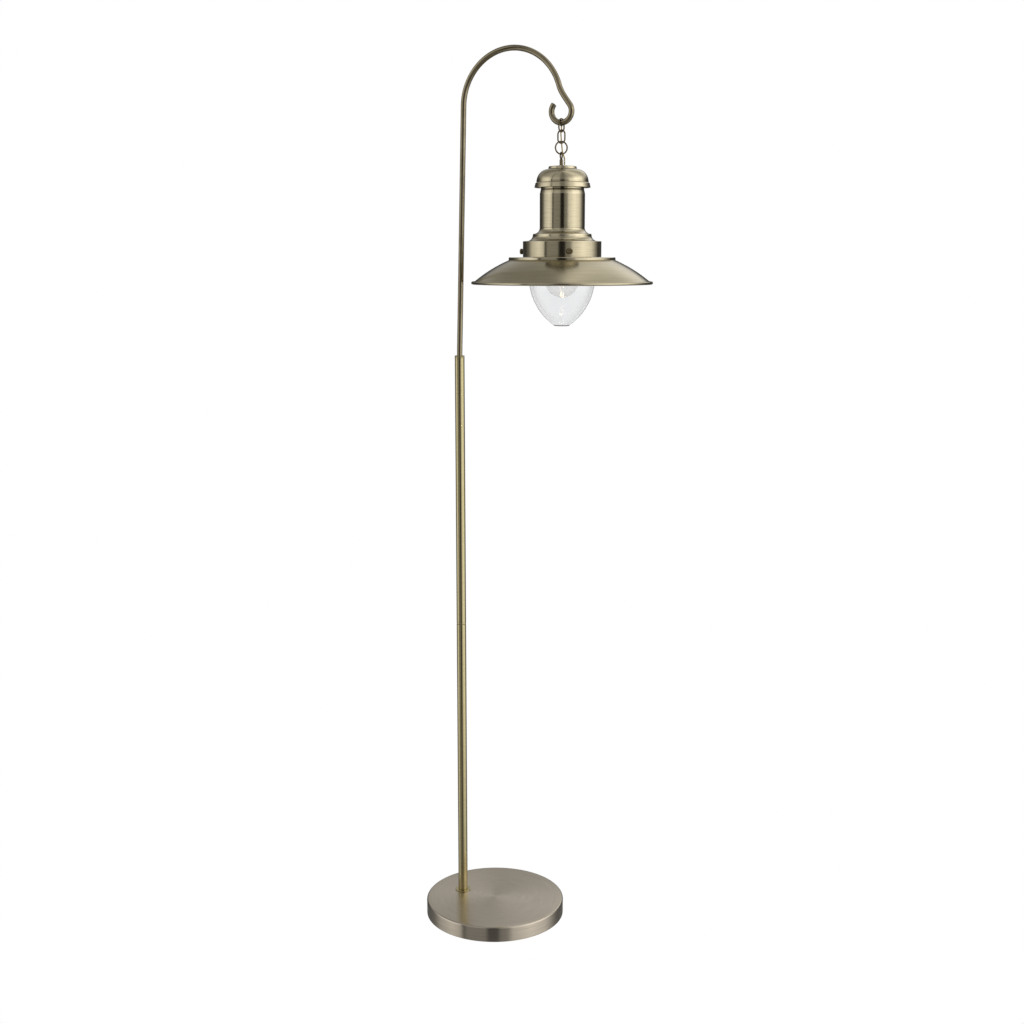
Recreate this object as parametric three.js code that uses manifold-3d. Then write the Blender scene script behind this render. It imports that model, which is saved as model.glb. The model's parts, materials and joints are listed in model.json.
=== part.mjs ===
// Pharmacy floor lamp: a weighted round base, a two-piece pole, an arched arm that ends in a hook,
// and a brass head that hangs from the hook on a short chain, with its flex beside the links.
// Millimetres. The origin is the centre of the base's underside, +Z is up, +X is the arm's direction.
import * as THREE from 'three';
import { mergeVertices } from 'three/addons/utils/BufferGeometryUtils.js';
import Module from 'manifold-3d';

const wasm = await Module();
wasm.setup();

// ---------------------------------------------------------------- driving dimensions
const gap = 0.3; // left between pieces that touch
const edge = 0.6; // broken edge of the brass pieces
const wide = 36; // sides of the widest turned pieces
const round = 24; // sides of the other large turned pieces

const base = { radius: 133, height: 30, wall: 1.5, edge: 3, skirt: 1 };
const pad = { inset: 4, thick: 2 };
const weight = { thick: 17, rimGap: 2, boss: 24, bossStart: 1, pocket: 17, pocketDepth: 15 };
const groove = { width: 12, over: 3 }; // channel for the flex in the weight's underside
const gland = { radius: 5, flange: 7, bore: 3.6, height: 7.5, body: 4, length: 6, bevel: 1.2, stand: 0.5 };

const pole = { offset: 71, radius: 9, wall: 1.2, joint: 574, top: 1080.5 };
const footWasher = { radius: 15, thick: 1.2 };
const lockWasher = { radius: 10, thick: 1.5 };
const footNut = { flats: 17, height: 5, thread: 1 };
const nipple = { radius: 5, bore: 3.2 };
const plugLength = 16;
const plugFree = 2; // plug left empty above the nipple
const joinerRing = 3;
const joinerSleeve = 22;
const joinerWall = 2;
const bushing = { lip: 0.3, height: 3.7, groove: 0.8, bevel: 0.5, plug: 20, under: 2 };

const arm = { radius: 5, wall: 1, lean: 1.46, rise: 447, arch: 96, archEnd: 17 };
const hook = { reach: 204, drop: 16.4, radius: 19, start: 35, end: -221, hole: 2.6 };
const bush = { radius: 2.3, bore: 1.4, stand: 0.8, inside: 0.5 };

const wire = 2.6; // chain wire diameter
const link = { width: 17.2, length: 24.6 };
const ring = { diameter: 24 };
const twist = { upper: 76.3, lower: -9.7, ring: 42.3, eye: -47.7 }; // each loop's plane, from +X
const eye = { diameter: 13.5, stem: 3, thread: 2.5, threadLength: 12, stemLength: 10.6 };
const collar = { radius: 7, thick: 1.5 };
const grip = { x: 3.5, y: 5.6, radius: 2.1, bore: 1.4, height: 12.2, spigot: 1.8, spigotLow: 4 };
const headOffset = { x: 1.6, y: 2.4 }; // head axis from the chain line
const flex = { radius: 1.1, sides: 8, tail: 60 }; // tail: how far it hangs below the hook

const sheet = 1.2; // wall of the spun brass pieces
const cap = { flat: 24.2, lip: 4.6, step: 26.4, shoulder: 45.8, dome: 22.2, band: 49.3, bandHeight: 7.4 };
const capRim = { out: 1.8, drop: 1.2 };
const eyeNut = { flats: 8, height: 4 };
const neck = { top: 37.9, radius: 39.7, belowCap: 27.2, length: 78, edge: 1.2, taper: 20, flare: 8 };
const spigot = { inset: 1.6, length: 8 };
const headNut = { flats: 14, height: 4 };
const tag = { radius: 8.5, thick: 0.8, tongue: 12, width: 5, offset: 13 };
const pillar = { radius: 3, circle: 17, count: 3 };
const shoulder = { mid: 51.2, step: 1.9, out: 61.8, first: 10.4, second: 10.8 };
const drum = { radius: 69.2, height: 27.6, collar: 51.5, collarDepth: 12, collarWall: 1.5, socket: 2.5 };
const screw = { head: 5, headThick: 3.4, shank: 2, stand: 9.6, point: 0.8 };
const screws = { height: 10, turn: -55.5, count: 3 }; // their height above the drum's floor and their places
const slot = { depth: 1, width: 1 };
const shade = { flange: 94.3, flangeHeight: 4.9, bevel: 0.8, mouth: 153.6, depth: 36, bulge: 250 };
const rim = { bead: 2.6, out: 4.6, drop: 3.6, step: 1.6 };
const lockRing = { radius: 60, thick: 4 };
const glass = { lip: 47.5, lipHeight: 4, above: 1, neck: 44, neckLength: 21, wall: 2.5 };
const globe = { belly: 58.5, bellyDrop: 36, bottom: 12.5, drop: 80.4, upper: 60, lower: 104, turn: 4 };

const holder = { radius: 20, bore: 15.2, over: 2, length: 48, taper: 12, head: 9, bevel: 6, roof: 6 };
const insertThick = 8;
const contactRadius = 5;
const bulb = { radius: 30, below: 29.6, length: 107, capRadius: 13.2, capLength: 25, neck: 14.2, wall: 1 };
const stem = { radius: 2.2, foot: 8, footHeight: 16, press: 3, start: 6 };
const nippleRise = 8; // lampholder nipple above the neck's top plate

// ---------------------------------------------------------------- places worked out from them
const rad = THREE.MathUtils.degToRad;
const poleX = -pole.offset;
const bushingTop = pole.top + bushing.height;
const bushingRadius = pole.radius + bushing.lip;
const lean = rad(arm.lean);
const archX = poleX + arm.rise * Math.sin(lean) + arm.arch * Math.cos(lean);
const archZ = bushingTop + arm.rise * Math.cos(lean) - arm.arch * Math.sin(lean);
const hookX = poleX + hook.reach;
const hookZ = archZ - hook.drop;
const tubeLow = hookZ - hook.radius - arm.radius; // underside of the hook
const tubeHigh = hookZ - hook.radius + arm.radius; // where the first link rests

const upperTop = tubeHigh + gap + wire;
const upperLow = upperTop - link.length;
const lowerTop = upperLow + 2 * wire + gap;
const lowerLow = lowerTop - link.length;
const ringTop = lowerLow + 2 * wire + gap;
const ringLow = ringTop - ring.diameter;
const eyeTop = ringLow + 2 * wire + gap;
const eyeLow = eyeTop - eye.diameter;
const collarTop = eyeLow + wire / 2 - eye.stemLength;
const capTop = collarTop - gap - collar.thick - gap;
const headX = hookX + headOffset.x;
const headY = headOffset.y;

const neckTop = capTop - neck.belowCap;
const neckLow = neckTop - neck.length;
const drumTop = neckLow - gap - shoulder.first - shoulder.step - shoulder.second;
const drumLow = drumTop - drum.height;
const flangeTop = drumLow - gap;
const domeTop = flangeTop - shade.flangeHeight;
const mouthZ = domeTop - shade.depth;
const screwZ = drumLow + screws.height;
const glassTop = screwZ + screw.shank + glass.lipHeight + glass.above;
const glassLow = glassTop - glass.neckLength - globe.bellyDrop - globe.drop;
const bulbLow = mouthZ - bulb.below;
const bulbTop = bulbLow + bulb.length;
const bulbNeckTop = bulbTop - bulb.capLength;
const holderLow = bulbNeckTop - holder.over;
const holderTop = holderLow + holder.length + holder.taper;
const gripX = hookX + grip.x;
const gripY = grip.y;

// ---------------------------------------------------------------- materials
const paint = (color, roughness, metalness, opacity = 1) => new THREE.MeshStandardMaterial({
  color, roughness, metalness, opacity, transparent: opacity < 1,
});
const brass = () => paint(0x968a68, 0.35, 1);
const steel = () => paint(0xb4b4b0, 0.4, 1);
const iron = () => paint(0x3c3b3a, 0.8, 0.6);
const black = () => paint(0x1c1b1a, 0.6, 0);
const felt = () => paint(0x2a2826, 0.95, 0);
const gold = () => paint(0xb08f2c, 0.3, 0, 0.8);
const clear = () => paint(0xe8ecec, 0.1, 0, 0.4);
const ivory = () => paint(0xe9e4d6, 0.5, 0);

// ---------------------------------------------------------------- geometry helpers
const lamp = new THREE.Group();

/** Add a geometry to the lamp as a named mesh, moved to x, y, z. */
function add(name, geometry, material, x = 0, y = 0, z = 0) {
  const mesh = new THREE.Mesh(geometry, material);
  mesh.name = name;
  mesh.position.set(x, y, z);
  lamp.add(mesh);
  return mesh;
}

/** Share the vertices that coincide, drop the triangles that vanish and turn all faces outwards. */
function weld(geometry) {
  const bare = geometry.clone();
  for (const name of ['normal', 'uv']) bare.deleteAttribute(name);
  const merged = mergeVertices(bare, 1e-4);
  const index = [...merged.index.array];
  const kept = [];
  const a = new THREE.Vector3();
  const b = new THREE.Vector3();
  const c = new THREE.Vector3();
  let volume = 0;
  for (let i = 0; i < index.length; i += 3) {
    const [p, q, r] = index.slice(i, i + 3);
    if (p === q || q === r || r === p) continue;
    kept.push(p, q, r);
    a.fromBufferAttribute(merged.attributes.position, p);
    b.fromBufferAttribute(merged.attributes.position, q);
    c.fromBufferAttribute(merged.attributes.position, r);
    volume += a.dot(b.cross(c));
  }
  merged.setIndex(volume < 0 ? kept.reverse() : kept);
  return merged;
}

/** A closed geometry as a manifold-3d solid. */
function toSolid(geometry) {
  const merged = weld(geometry);
  return new wasm.Manifold(new wasm.Mesh({
    numProp: 3,
    vertProperties: new Float32Array(merged.attributes.position.array),
    triVerts: new Uint32Array(merged.index.array),
  }));
}

/** A manifold-3d solid as a geometry. */
function toGeometry(solid) {
  const mesh = solid.getMesh();
  const geometry = new THREE.BufferGeometry();
  geometry.setAttribute('position', new THREE.BufferAttribute(new Float32Array(mesh.vertProperties), 3));
  geometry.setIndex([...mesh.triVerts]);
  return geometry;
}

const cut = (body, ...tools) => toGeometry(tools.reduce((s, t) => s.subtract(toSolid(t)), toSolid(body)));
const join = (body, ...others) => toGeometry(others.reduce((s, t) => s.add(toSolid(t)), toSolid(body)));

/** A solid turned about Z from a profile of [radius, height] points that starts and ends on the axis. */
function turned(profile, sides = 32) {
  const points = profile.map(([r, z]) => new THREE.Vector2(r, z));
  return weld(new THREE.LatheGeometry(points, sides).rotateX(Math.PI / 2));
}

/** A turned ring: its profile closes on itself. */
const turnedRing = (profile, sides) => turned([...profile, profile[0]], sides);

/** A straight tube, or a plain rod when the bore is nought. */
function tube(outer, bore, low, high, sides = 16) {
  if (bore === 0) return turned([[0, low], [outer, low], [outer, high], [0, high]], sides);
  return turnedRing([[bore, low], [outer, low], [outer, high], [bore, high]], sides);
}

/** An open line of points and the same line moved to its right by the wall, as one closed outline. */
function walled(points, wall) {
  const inner = points.map(([r, z], i) => {
    const [pr, pz] = points[Math.max(i - 1, 0)];
    const [nr, nz] = points[Math.min(i + 1, points.length - 1)];
    const before = i > 0 ? new THREE.Vector2(r - pr, z - pz).normalize() : null;
    const after = i < points.length - 1 ? new THREE.Vector2(nr - r, nz - z).normalize() : null;
    const first = before ?? after;
    const second = after ?? before;
    const middle = first.clone().add(second).normalize();
    const reach = wall / middle.dot(first);
    return [r + middle.y * reach, z - middle.x * reach];
  });
  return [...points, ...inner.reverse()];
}

/** Points on an arc about a centre, with angles in degrees. */
function arcPoints(cx, cz, rx, rz, from, to, steps) {
  const angles = Array.from({ length: steps + 1 }, (_, i) => rad(from + (to - from) * i / steps));
  return angles.map((angle) => [cx + rx * Math.cos(angle), cz + rz * Math.sin(angle)]);
}

/** Points of a shallow arc from a to b, bulging to the left of the way from a to b. */
function bow(a, b, radius, steps) {
  const chord = new THREE.Vector2(b[0] - a[0], b[1] - a[1]);
  const half = Math.asin(chord.length() / 2 / radius);
  const side = new THREE.Vector2(-chord.y, chord.x).normalize();
  const middle = new THREE.Vector2((a[0] + b[0]) / 2, (a[1] + b[1]) / 2);
  const centre = middle.sub(side.clone().multiplyScalar(radius * Math.cos(half)));
  const start = Math.atan2(a[1] - centre.y, a[0] - centre.x);
  return Array.from({ length: steps + 1 }, (_, i) => {
    const angle = start - 2 * half * i / steps;
    return [centre.x + radius * Math.cos(angle), centre.y + radius * Math.sin(angle)];
  });
}

/** A route that takes its stations one by one, so that bends can have more of them than straights. */
class Route extends THREE.Curve {
  constructor(stations) {
    super();
    this.stations = stations;
  }

  getPoint(t) {
    const place = t * (this.stations.length - 1);
    const i = Math.min(Math.floor(place), this.stations.length - 2);
    return this.stations[i].clone().lerp(this.stations[i + 1], place - i);
  }

  getPointAt(t) {
    return this.getPoint(t);
  }

  getTangent(t) {
    const i = Math.round(t * (this.stations.length - 1));
    const way = (j) => this.stations[j + 1].clone().sub(this.stations[j]).normalize();
    const before = way(Math.max(i - 1, 0));
    const after = way(Math.min(i, this.stations.length - 2));
    return before.add(after).normalize();
  }

  getTangentAt(t) {
    return this.getTangent(t);
  }
}

const circle = (radius, sides) => Array.from({ length: sides }, (_, i) => new THREE.Vector2(
  radius * Math.cos(2 * Math.PI * i / sides),
  radius * Math.sin(2 * Math.PI * i / sides),
));

/** A round rod or, with a bore, a pipe along a list of stations. */
function piped(stations, outer, bore, sides) {
  const section = new THREE.Shape(circle(outer, sides));
  if (bore > 0) section.holes.push(new THREE.Path(circle(bore, 8)));
  const route = new Route(stations);
  return weld(new THREE.ExtrudeGeometry(section, { steps: stations.length - 1, extrudePath: route }));
}

/** A chain link in the XZ plane, centred: a ring whose two halves are pulled apart. */
function chainLoop(width, length) {
  const around = 18;
  const loop = new THREE.TorusGeometry((width - wire) / 2, wire / 2, 8, around);
  loop.rotateZ(Math.PI / around).rotateX(Math.PI / 2);
  const position = loop.attributes.position;
  for (let i = 0; i < position.count; i += 1) {
    const z = position.getZ(i);
    position.setZ(i, z + Math.sign(z) * (length - width) / 2);
  }
  return weld(loop);
}

const hexagon = (flats) => new THREE.Shape(Array.from({ length: 6 }, (_, i) => new THREE.Vector2(
  flats / Math.sqrt(3) * Math.cos(Math.PI * i / 3),
  flats / Math.sqrt(3) * Math.sin(Math.PI * i / 3),
)));

/** A hexagon nut from its across-flats size, bore radius and height, standing on z = 0. */
function nut(flats, bore, height) {
  const shape = hexagon(flats);
  shape.holes.push(new THREE.Path(circle(bore, 12)));
  return new THREE.ExtrudeGeometry(shape, { depth: height, bevelEnabled: false });
}

const rod = (radius, length, sides = 16) => new THREE.CylinderGeometry(radius, radius, length, sides)
  .rotateX(Math.PI / 2);

// ---------------------------------------------------------------- base
function makeBase() {
  const top = base.height;
  const rimLow = base.skirt;
  const outline = [
    [0, top],
    [base.radius - base.edge, top],
    ...arcPoints(base.radius - base.edge, top - base.edge, base.edge, base.edge, 75, 0, 4),
    [base.radius, rimLow],
    [base.radius - base.wall, rimLow],
    [base.radius - base.wall, top - base.edge],
    [base.radius - base.edge, top - base.wall],
    [0, top - base.wall],
  ];
  const poleHole = rod(nipple.radius + gap, 20).translate(poleX, 0, top);
  const glandHole = rod(gland.radius + gap, 20).rotateY(Math.PI / 2).translate(-base.radius, 0, gland.height);
  add('base_cover', cut(turned(outline, wide), poleHole, glandHole), brass());

  const low = pad.thick + gap;
  const high = low + weight.thick;
  const under = top - base.wall - gap;
  const discRadius = base.radius - base.wall - weight.rimGap;
  const boss = tube(weight.boss, 0, low + weight.bossStart, under, 32).translate(poleX, 0, 0);
  const pocket = rod(weight.pocket, 2 * weight.pocketDepth, 24).translate(poleX, 0, low);
  const grooveLength = base.radius - pole.offset;
  const channel = new THREE.BoxGeometry(grooveLength, groove.width, 2 * (gland.height + groove.over));
  channel.translate(poleX - grooveLength / 2, 0, 0);
  const stemHole = rod(nipple.radius + gap, 80).translate(poleX, 0, 0);
  const disc = join(tube(discRadius, 0, low, high, wide), boss);
  add('base_weight', cut(disc, pocket, channel, stemHole), iron());

  add('base_pad', tube(base.radius - pad.inset, 0, 0, pad.thick, wide), felt());

  const glandProfile = [
    [gland.bore, 0],
    [gland.radius, 0],
    [gland.radius, gland.body],
    [gland.flange - edge, gland.body],
    [gland.flange - gland.bevel, gland.length],
    [gland.bore, gland.length],
  ];
  const glandBody = turnedRing(glandProfile, 16).rotateY(-Math.PI / 2);
  const glandX = -base.radius - gland.stand + gland.body;
  add('cord_gland', glandBody, black(), glandX, 0, gland.height);
}

// ---------------------------------------------------------------- foot of the pole
const washerTop = base.height + gap + footWasher.thick;
const poleLow = washerTop + gap;
function makeFoot() {
  const pocketTop = pad.thick + gap + weight.pocketDepth;
  const hole = nipple.radius + gap;
  add('foot_washer', tube(footWasher.radius, hole, base.height + gap, washerTop), brass(), poleX);
  const lockHigh = pocketTop - gap;
  const lockLow = lockHigh - lockWasher.thick;
  add('foot_lock_washer', tube(lockWasher.radius, hole, lockLow, lockHigh), steel(), poleX);
  const nutLow = lockLow - gap - footNut.height;
  add('foot_nut', nut(footNut.flats, hole, footNut.height), steel(), poleX, 0, nutLow);
  const nippleHigh = poleLow + plugLength - plugFree;
  const nippleLow = nutLow - footNut.thread;
  add('foot_nipple', tube(nipple.radius, nipple.bore, nippleLow, nippleHigh), steel(), poleX);
  const plugRadius = pole.radius - pole.wall - gap;
  add('foot_plug', tube(plugRadius, hole, poleLow, poleLow + plugLength), steel(), poleX);
}

// ---------------------------------------------------------------- pole
function makePole() {
  const inside = pole.radius - pole.wall;
  const jointLow = pole.joint - joinerRing / 2;
  const jointHigh = pole.joint + joinerRing / 2;
  add('lower_pole', tube(pole.radius, inside, poleLow, jointLow - gap), brass(), poleX);
  add('upper_pole', tube(pole.radius, inside, jointHigh + gap, pole.top - gap), brass(), poleX);
  const sleeve = inside - gap;
  add('pole_joiner', turnedRing([
    [sleeve - joinerWall, jointLow - joinerSleeve],
    [sleeve, jointLow - joinerSleeve],
    [sleeve, jointLow],
    [pole.radius, jointLow],
    [pole.radius, jointHigh],
    [sleeve, jointHigh],
    [sleeve, jointHigh + joinerSleeve],
    [sleeve - joinerWall, jointHigh + joinerSleeve],
  ], 16), brass(), poleX);

  const middle = pole.top + bushing.height / 2;
  const body = turned([
    [0, pole.top - bushing.plug],
    [sleeve, pole.top - bushing.plug],
    [sleeve, pole.top],
    [bushingRadius, pole.top],
    [bushingRadius, middle - bushing.groove],
    [bushingRadius - bushing.groove, middle],
    [bushingRadius, middle + bushing.groove],
    [bushingRadius, bushingTop - bushing.bevel],
    [bushingRadius - bushing.bevel, bushingTop],
    [0, bushingTop],
  ], 16).translate(poleX, 0, 0);
  const socket = rod(arm.radius + gap, 80).rotateY(lean).translate(poleX, 0, bushingTop);
  add('pole_top_bushing', cut(body, socket), brass());
}

// ---------------------------------------------------------------- arm and hook
const planePoint = ([x, z]) => new THREE.Vector3(x, 0, z);

/** Stations of the arm's centre line, from inside the bushing to the hook's angle that is asked for. */
function armStations(hookTo) {
  const below = bushing.plug - bushing.under;
  const foot = new THREE.Vector3(poleX - below * Math.sin(lean), 0, bushingTop - below * Math.cos(lean));
  const arch = arcPoints(archX, archZ, arm.arch, arm.arch, 180 - arm.lean, arm.archEnd, 12);
  const bend = arcPoints(hookX, hookZ, hook.radius, hook.radius, hook.start, hookTo, 14);
  const leave = arch[arch.length - 1];
  const meet = bend[0];
  const reach = Math.hypot(meet[0] - leave[0], meet[1] - leave[1]) / 3;
  const turn = ([x, z], angle, length) => planePoint([
    x + length * Math.sin(rad(angle)),
    z - length * Math.cos(rad(angle)),
  ]);
  const sweep = new THREE.CubicBezierCurve3(
    planePoint(leave),
    turn(leave, arm.archEnd, reach),
    turn(meet, hook.start, -reach),
    planePoint(meet),
  );
  const between = sweep.getPoints(5).slice(1, -1);
  return [foot, ...arch.map(planePoint), ...between, ...bend.map(planePoint)];
}

function makeArm() {
  const pipe = piped(armStations(hook.end), arm.radius, arm.radius - arm.wall, 12);
  const hole = rod(hook.hole, 6, 12).translate(hookX, 0, tubeLow + 1);
  add('arm_tube', cut(pipe, hole), brass());
  const bushLow = tubeLow - bush.stand;
  const bushHigh = tubeLow + arm.wall + bush.inside;
  add('hook_bush', tube(bush.radius, bush.bore, bushLow, bushHigh, 12), black(), hookX);
}

// ---------------------------------------------------------------- chain
function makeChain() {
  const hang = (name, loop, angle, top, length) => {
    const mesh = add(name, loop, brass(), hookX, 0, top - length / 2);
    mesh.rotation.z = rad(angle);
  };
  hang('chain_link_upper', chainLoop(link.width, link.length), twist.upper, upperTop, link.length);
  hang('chain_link_lower', chainLoop(link.width, link.length), twist.lower, lowerTop, link.length);
  hang('chain_ring', chainLoop(ring.diameter, ring.diameter), twist.ring, ringTop, ring.diameter);

  const loop = chainLoop(eye.diameter, eye.diameter)
    .rotateZ(rad(twist.eye)).translate(0, 0, eyeTop - eye.diameter / 2);
  const shaft = tube(eye.stem, 0, collarTop, eyeLow + wire / 2, 16);
  const thread = tube(eye.thread, 0, collarTop - eye.threadLength, collarTop + 1, 16);
  add('hanging_eye', join(loop, shaft, thread), brass(), hookX);
}

// ---------------------------------------------------------------- flex
function makeFlex() {
  const toArm = armStations(-55);
  const last = toArm[toArm.length - 1];
  const drop = new THREE.CubicBezierCurve3(
    last,
    new THREE.Vector3(last.x - 4.1, 0, last.z - 2.9),
    new THREE.Vector3(hookX, 0, tubeLow + 5),
    new THREE.Vector3(hookX, 0, tubeLow + gap),
  ).getPoints(6).slice(1);
  const channel = pad.thick + 2 * flex.radius;
  const upTurn = new THREE.CubicBezierCurve3(
    new THREE.Vector3(poleX - 12, 0, channel),
    new THREE.Vector3(poleX - 4, 0, channel),
    new THREE.Vector3(poleX, 0, channel + 3),
    new THREE.Vector3(poleX, 0, channel + 12),
  ).getPoints(6);
  const start = new THREE.Vector3(-base.radius + 8, 0, gland.height);
  const dip = new THREE.Vector3(poleX - 26, 0, channel);
  const high = new THREE.Vector3(poleX, 0, pole.top - 60);
  const stations = [start, dip, ...upTurn, high, ...toArm, ...drop];
  add('stand_flex', piped(stations, flex.radius, 0, flex.sides), gold());

  // Beside the chain: out of the hook's underside, behind the links and into the cord grip.
  const beside = [
    [0, 0, tubeLow],
    [0, 0, tubeLow - 1.4],
    [-0.3, 0.9, tubeLow - 3.6],
    [-0.9, 2.3, tubeLow - 5.8],
    [-1.8, 3.4, tubeLow - 8.2],
    [-2.6, 3.8, tubeLow - 10.6],
    [-2.7, 3.8, tubeLow - 13.4],
    [-2.3, 3.7, tubeLow - 18],
    [-1.9, 3.7, tubeLow - 23],
    [-1.5, 3.9, tubeLow - 28],
    [-0.9, 4.0, tubeLow - 34],
    [-0.3, 4.2, tubeLow - 40],
    [0.4, 4.5, tubeLow - 45],
    [1.3, 4.9, tubeLow - 48.5],
    [2.3, 5.3, tubeLow - 51],
    [3.2, 5.55, tubeLow - 53.4],
    [grip.x, grip.y, tubeLow - 56],
    [grip.x, grip.y, tubeLow - flex.tail],
  ].map(([x, y, z]) => new THREE.Vector3(hookX + x, y, z));
  const smooth = new THREE.CatmullRomCurve3(beside).getPoints(2 * (beside.length - 1));
  add('chain_flex', piped(smooth, flex.radius, 0, flex.sides), gold());

  const inHead = [
    [grip.x, grip.y, tubeLow - flex.tail - gap],
    [grip.x, grip.y, capTop - 6],
    [grip.x - 0.6, grip.y - 0.8, capTop - 10],
    [headOffset.x + 0.5, headOffset.y + 0.8, capTop - 15],
    [headOffset.x, headOffset.y, neckTop + nippleRise],
    [headOffset.x, headOffset.y, neckTop - 10],
    [headOffset.x, headOffset.y, holderTop + 2],
  ].map(([x, y, z]) => new THREE.Vector3(hookX + x, y, z));
  const inside = new THREE.CatmullRomCurve3(inHead, false, 'centripetal').getPoints(24);
  add('head_flex', piped(inside, flex.radius, 0, flex.sides), gold());
}

// ---------------------------------------------------------------- top of the head
function makeCap() {
  const collarLow = collarTop - gap - collar.thick;
  const plate = tube(collar.radius, 0, 0, collar.thick, 32).translate(headX, headY, collarLow);
  const eyeHole = (z) => rod(eye.thread + gap, 8, 16).translate(hookX, 0, z);
  const gripHole = (z) => rod(grip.spigot + gap, 8, 16).translate(gripX, gripY, z);
  add('eye_collar', cut(plate, eyeHole(collarLow), gripHole(collarLow)), brass());

  add('cord_grip', turnedRing([
    [grip.bore, capTop - grip.spigotLow],
    [grip.spigot, capTop - grip.spigotLow],
    [grip.spigot, collarTop],
    [grip.radius, collarTop],
    [grip.radius, collarTop + grip.height - 1],
    [grip.radius - 0.4, collarTop + grip.height],
    [grip.bore, collarTop + grip.height],
  ], 16), clear(), gripX, gripY);

  const lipLow = capTop - cap.lip;
  const domeLow = lipLow - edge - cap.dome;
  const outer = [
    [0, capTop],
    [cap.flat - edge, capTop],
    [cap.flat, capTop - edge],
    [cap.flat + 1, lipLow],
    [cap.step, lipLow - edge],
    ...arcPoints(cap.step, domeLow, cap.shoulder - cap.step, cap.dome, 80, 0, 5),
    [cap.shoulder + capRim.out, domeLow - capRim.drop],
    [cap.band, domeLow - capRim.drop - cap.bandHeight],
  ];
  const shell = turned(walled(outer, sheet), round).translate(headX, headY, 0);
  add('cap', cut(shell, eyeHole(capTop), gripHole(capTop)), brass());
  const nutLow = capTop - sheet - gap - eyeNut.height;
  add('eye_nut', nut(eyeNut.flats, eye.thread + gap, eyeNut.height), steel(), hookX, 0, nutLow);

  const pillarTop = capTop - sheet - gap;
  for (let i = 0; i < pillar.count; i += 1) {
    const angle = rad(screws.turn + 360 / pillar.count * (i + 0.5));
    const x = headX + pillar.circle * Math.cos(angle);
    const y = headY + pillar.circle * Math.sin(angle);
    add(`cap_pillar_${i + 1}`, tube(pillar.radius, 0, neckTop + gap, pillarTop, 12), steel(), x, y);
  }
}

function makeNeck() {
  const hole = nipple.radius + gap;
  const outer = [
    [hole, neckTop],
    [neck.top - neck.edge, neckTop],
    [neck.top, neckTop - neck.edge],
    [neck.top, neckTop - neck.taper + neck.flare],
    [neck.radius, neckTop - neck.taper],
    [neck.radius, neckLow],
    [neck.radius - spigot.inset, neckLow],
    [neck.radius - spigot.inset, neckLow - spigot.length],
  ];
  add('neck', turnedRing(walled(outer, sheet), round), brass(), headX, headY);

  const tagShape = new THREE.Shape(circle(tag.radius, 16));
  tagShape.holes.push(new THREE.Path(circle(hole, 12)));
  const tagRing = new THREE.ExtrudeGeometry(tagShape, { depth: tag.thick, bevelEnabled: false });
  const tongue = new THREE.BoxGeometry(tag.tongue, tag.width, tag.thick);
  tongue.translate(-tag.offset, 0, tag.thick / 2);
  add('earth_tag', join(tagRing, tongue), steel(), headX, headY, neckTop + gap);
  const upperNutLow = neckTop + 2 * gap + tag.thick;
  const lowerNutLow = neckTop - sheet - gap - headNut.height;
  const headNutShape = () => nut(headNut.flats, hole, headNut.height);
  add('nipple_nut_upper', headNutShape(), steel(), headX, headY, upperNutLow);
  add('nipple_nut_lower', headNutShape(), steel(), headX, headY, lowerNutLow);
  const low = holderTop - holder.head + 2;
  add('head_nipple', tube(nipple.radius, nipple.bore, low, neckTop + nippleRise, 16), steel(), headX, headY);
}

// ---------------------------------------------------------------- gallery and its screws
function makeGallery() {
  const top = neckLow - gap;
  const mid = top - shoulder.first;
  const step = mid - shoulder.step;
  const collarLow = drumLow - drum.collarDepth;
  const inner = neck.radius - spigot.inset + gap;
  const outer = [
    ...arcPoints(shoulder.mid, top, shoulder.mid - neck.radius, shoulder.first, 180, 255, 4),
    [shoulder.mid, mid + 0.2],
    [shoulder.mid + edge, step],
    ...arcPoints(shoulder.out, step, shoulder.out - shoulder.mid - edge, shoulder.second - edge, 190, 260, 3),
    [shoulder.out, drumTop + 0.5],
    [drum.radius - edge, drumTop],
    [drum.radius, drumTop - edge],
    [drum.radius, drumLow],
  ];
  const lining = walled(outer, sheet).slice(outer.length + 1).filter(([r]) => r > inner + 0.2);
  const floorTop = drumLow + sheet;
  const body = turnedRing([
    [inner, top],
    ...outer,
    [drum.collar, drumLow],
    [drum.collar, collarLow],
    [drum.collar - drum.collarWall, collarLow],
    [drum.collar - drum.collarWall, floorTop],
    [drum.radius - sheet, floorTop],
    ...lining,
    [inner, top - drum.socket],
  ], round).translate(headX, headY, 0);

  const spokes = Array.from({ length: screws.count }, (_, i) => rad(screws.turn + 360 / screws.count * i));
  const bores = spokes.map((angle) => rod(screw.shank + gap, 10, 12)
    .rotateY(Math.PI / 2).translate(drum.radius, 0, 0).rotateZ(angle).translate(headX, headY, screwZ));
  add('gallery', cut(body, ...bores), brass());

  const tip = glass.neck + gap;
  const headOut = drum.radius + screw.stand;
  const headIn = headOut - screw.headThick;
  spokes.forEach((angle, i) => {
    const pin = turned([
      [0, tip],
      [screw.shank, tip + screw.point],
      [screw.shank, headIn],
      [screw.head, headIn],
      [screw.head, headOut - edge],
      [screw.head - edge, headOut],
      [0, headOut],
    ], 12).rotateY(Math.PI / 2).rotateZ(angle);
    const across = new THREE.BoxGeometry(2 * slot.depth, 3 * screw.head, slot.width)
      .translate(headOut, 0, 0).rotateZ(angle);
    add(`gallery_screw_${i + 1}`, cut(pin, across), brass(), headX, headY, screwZ);
  });
}

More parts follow.
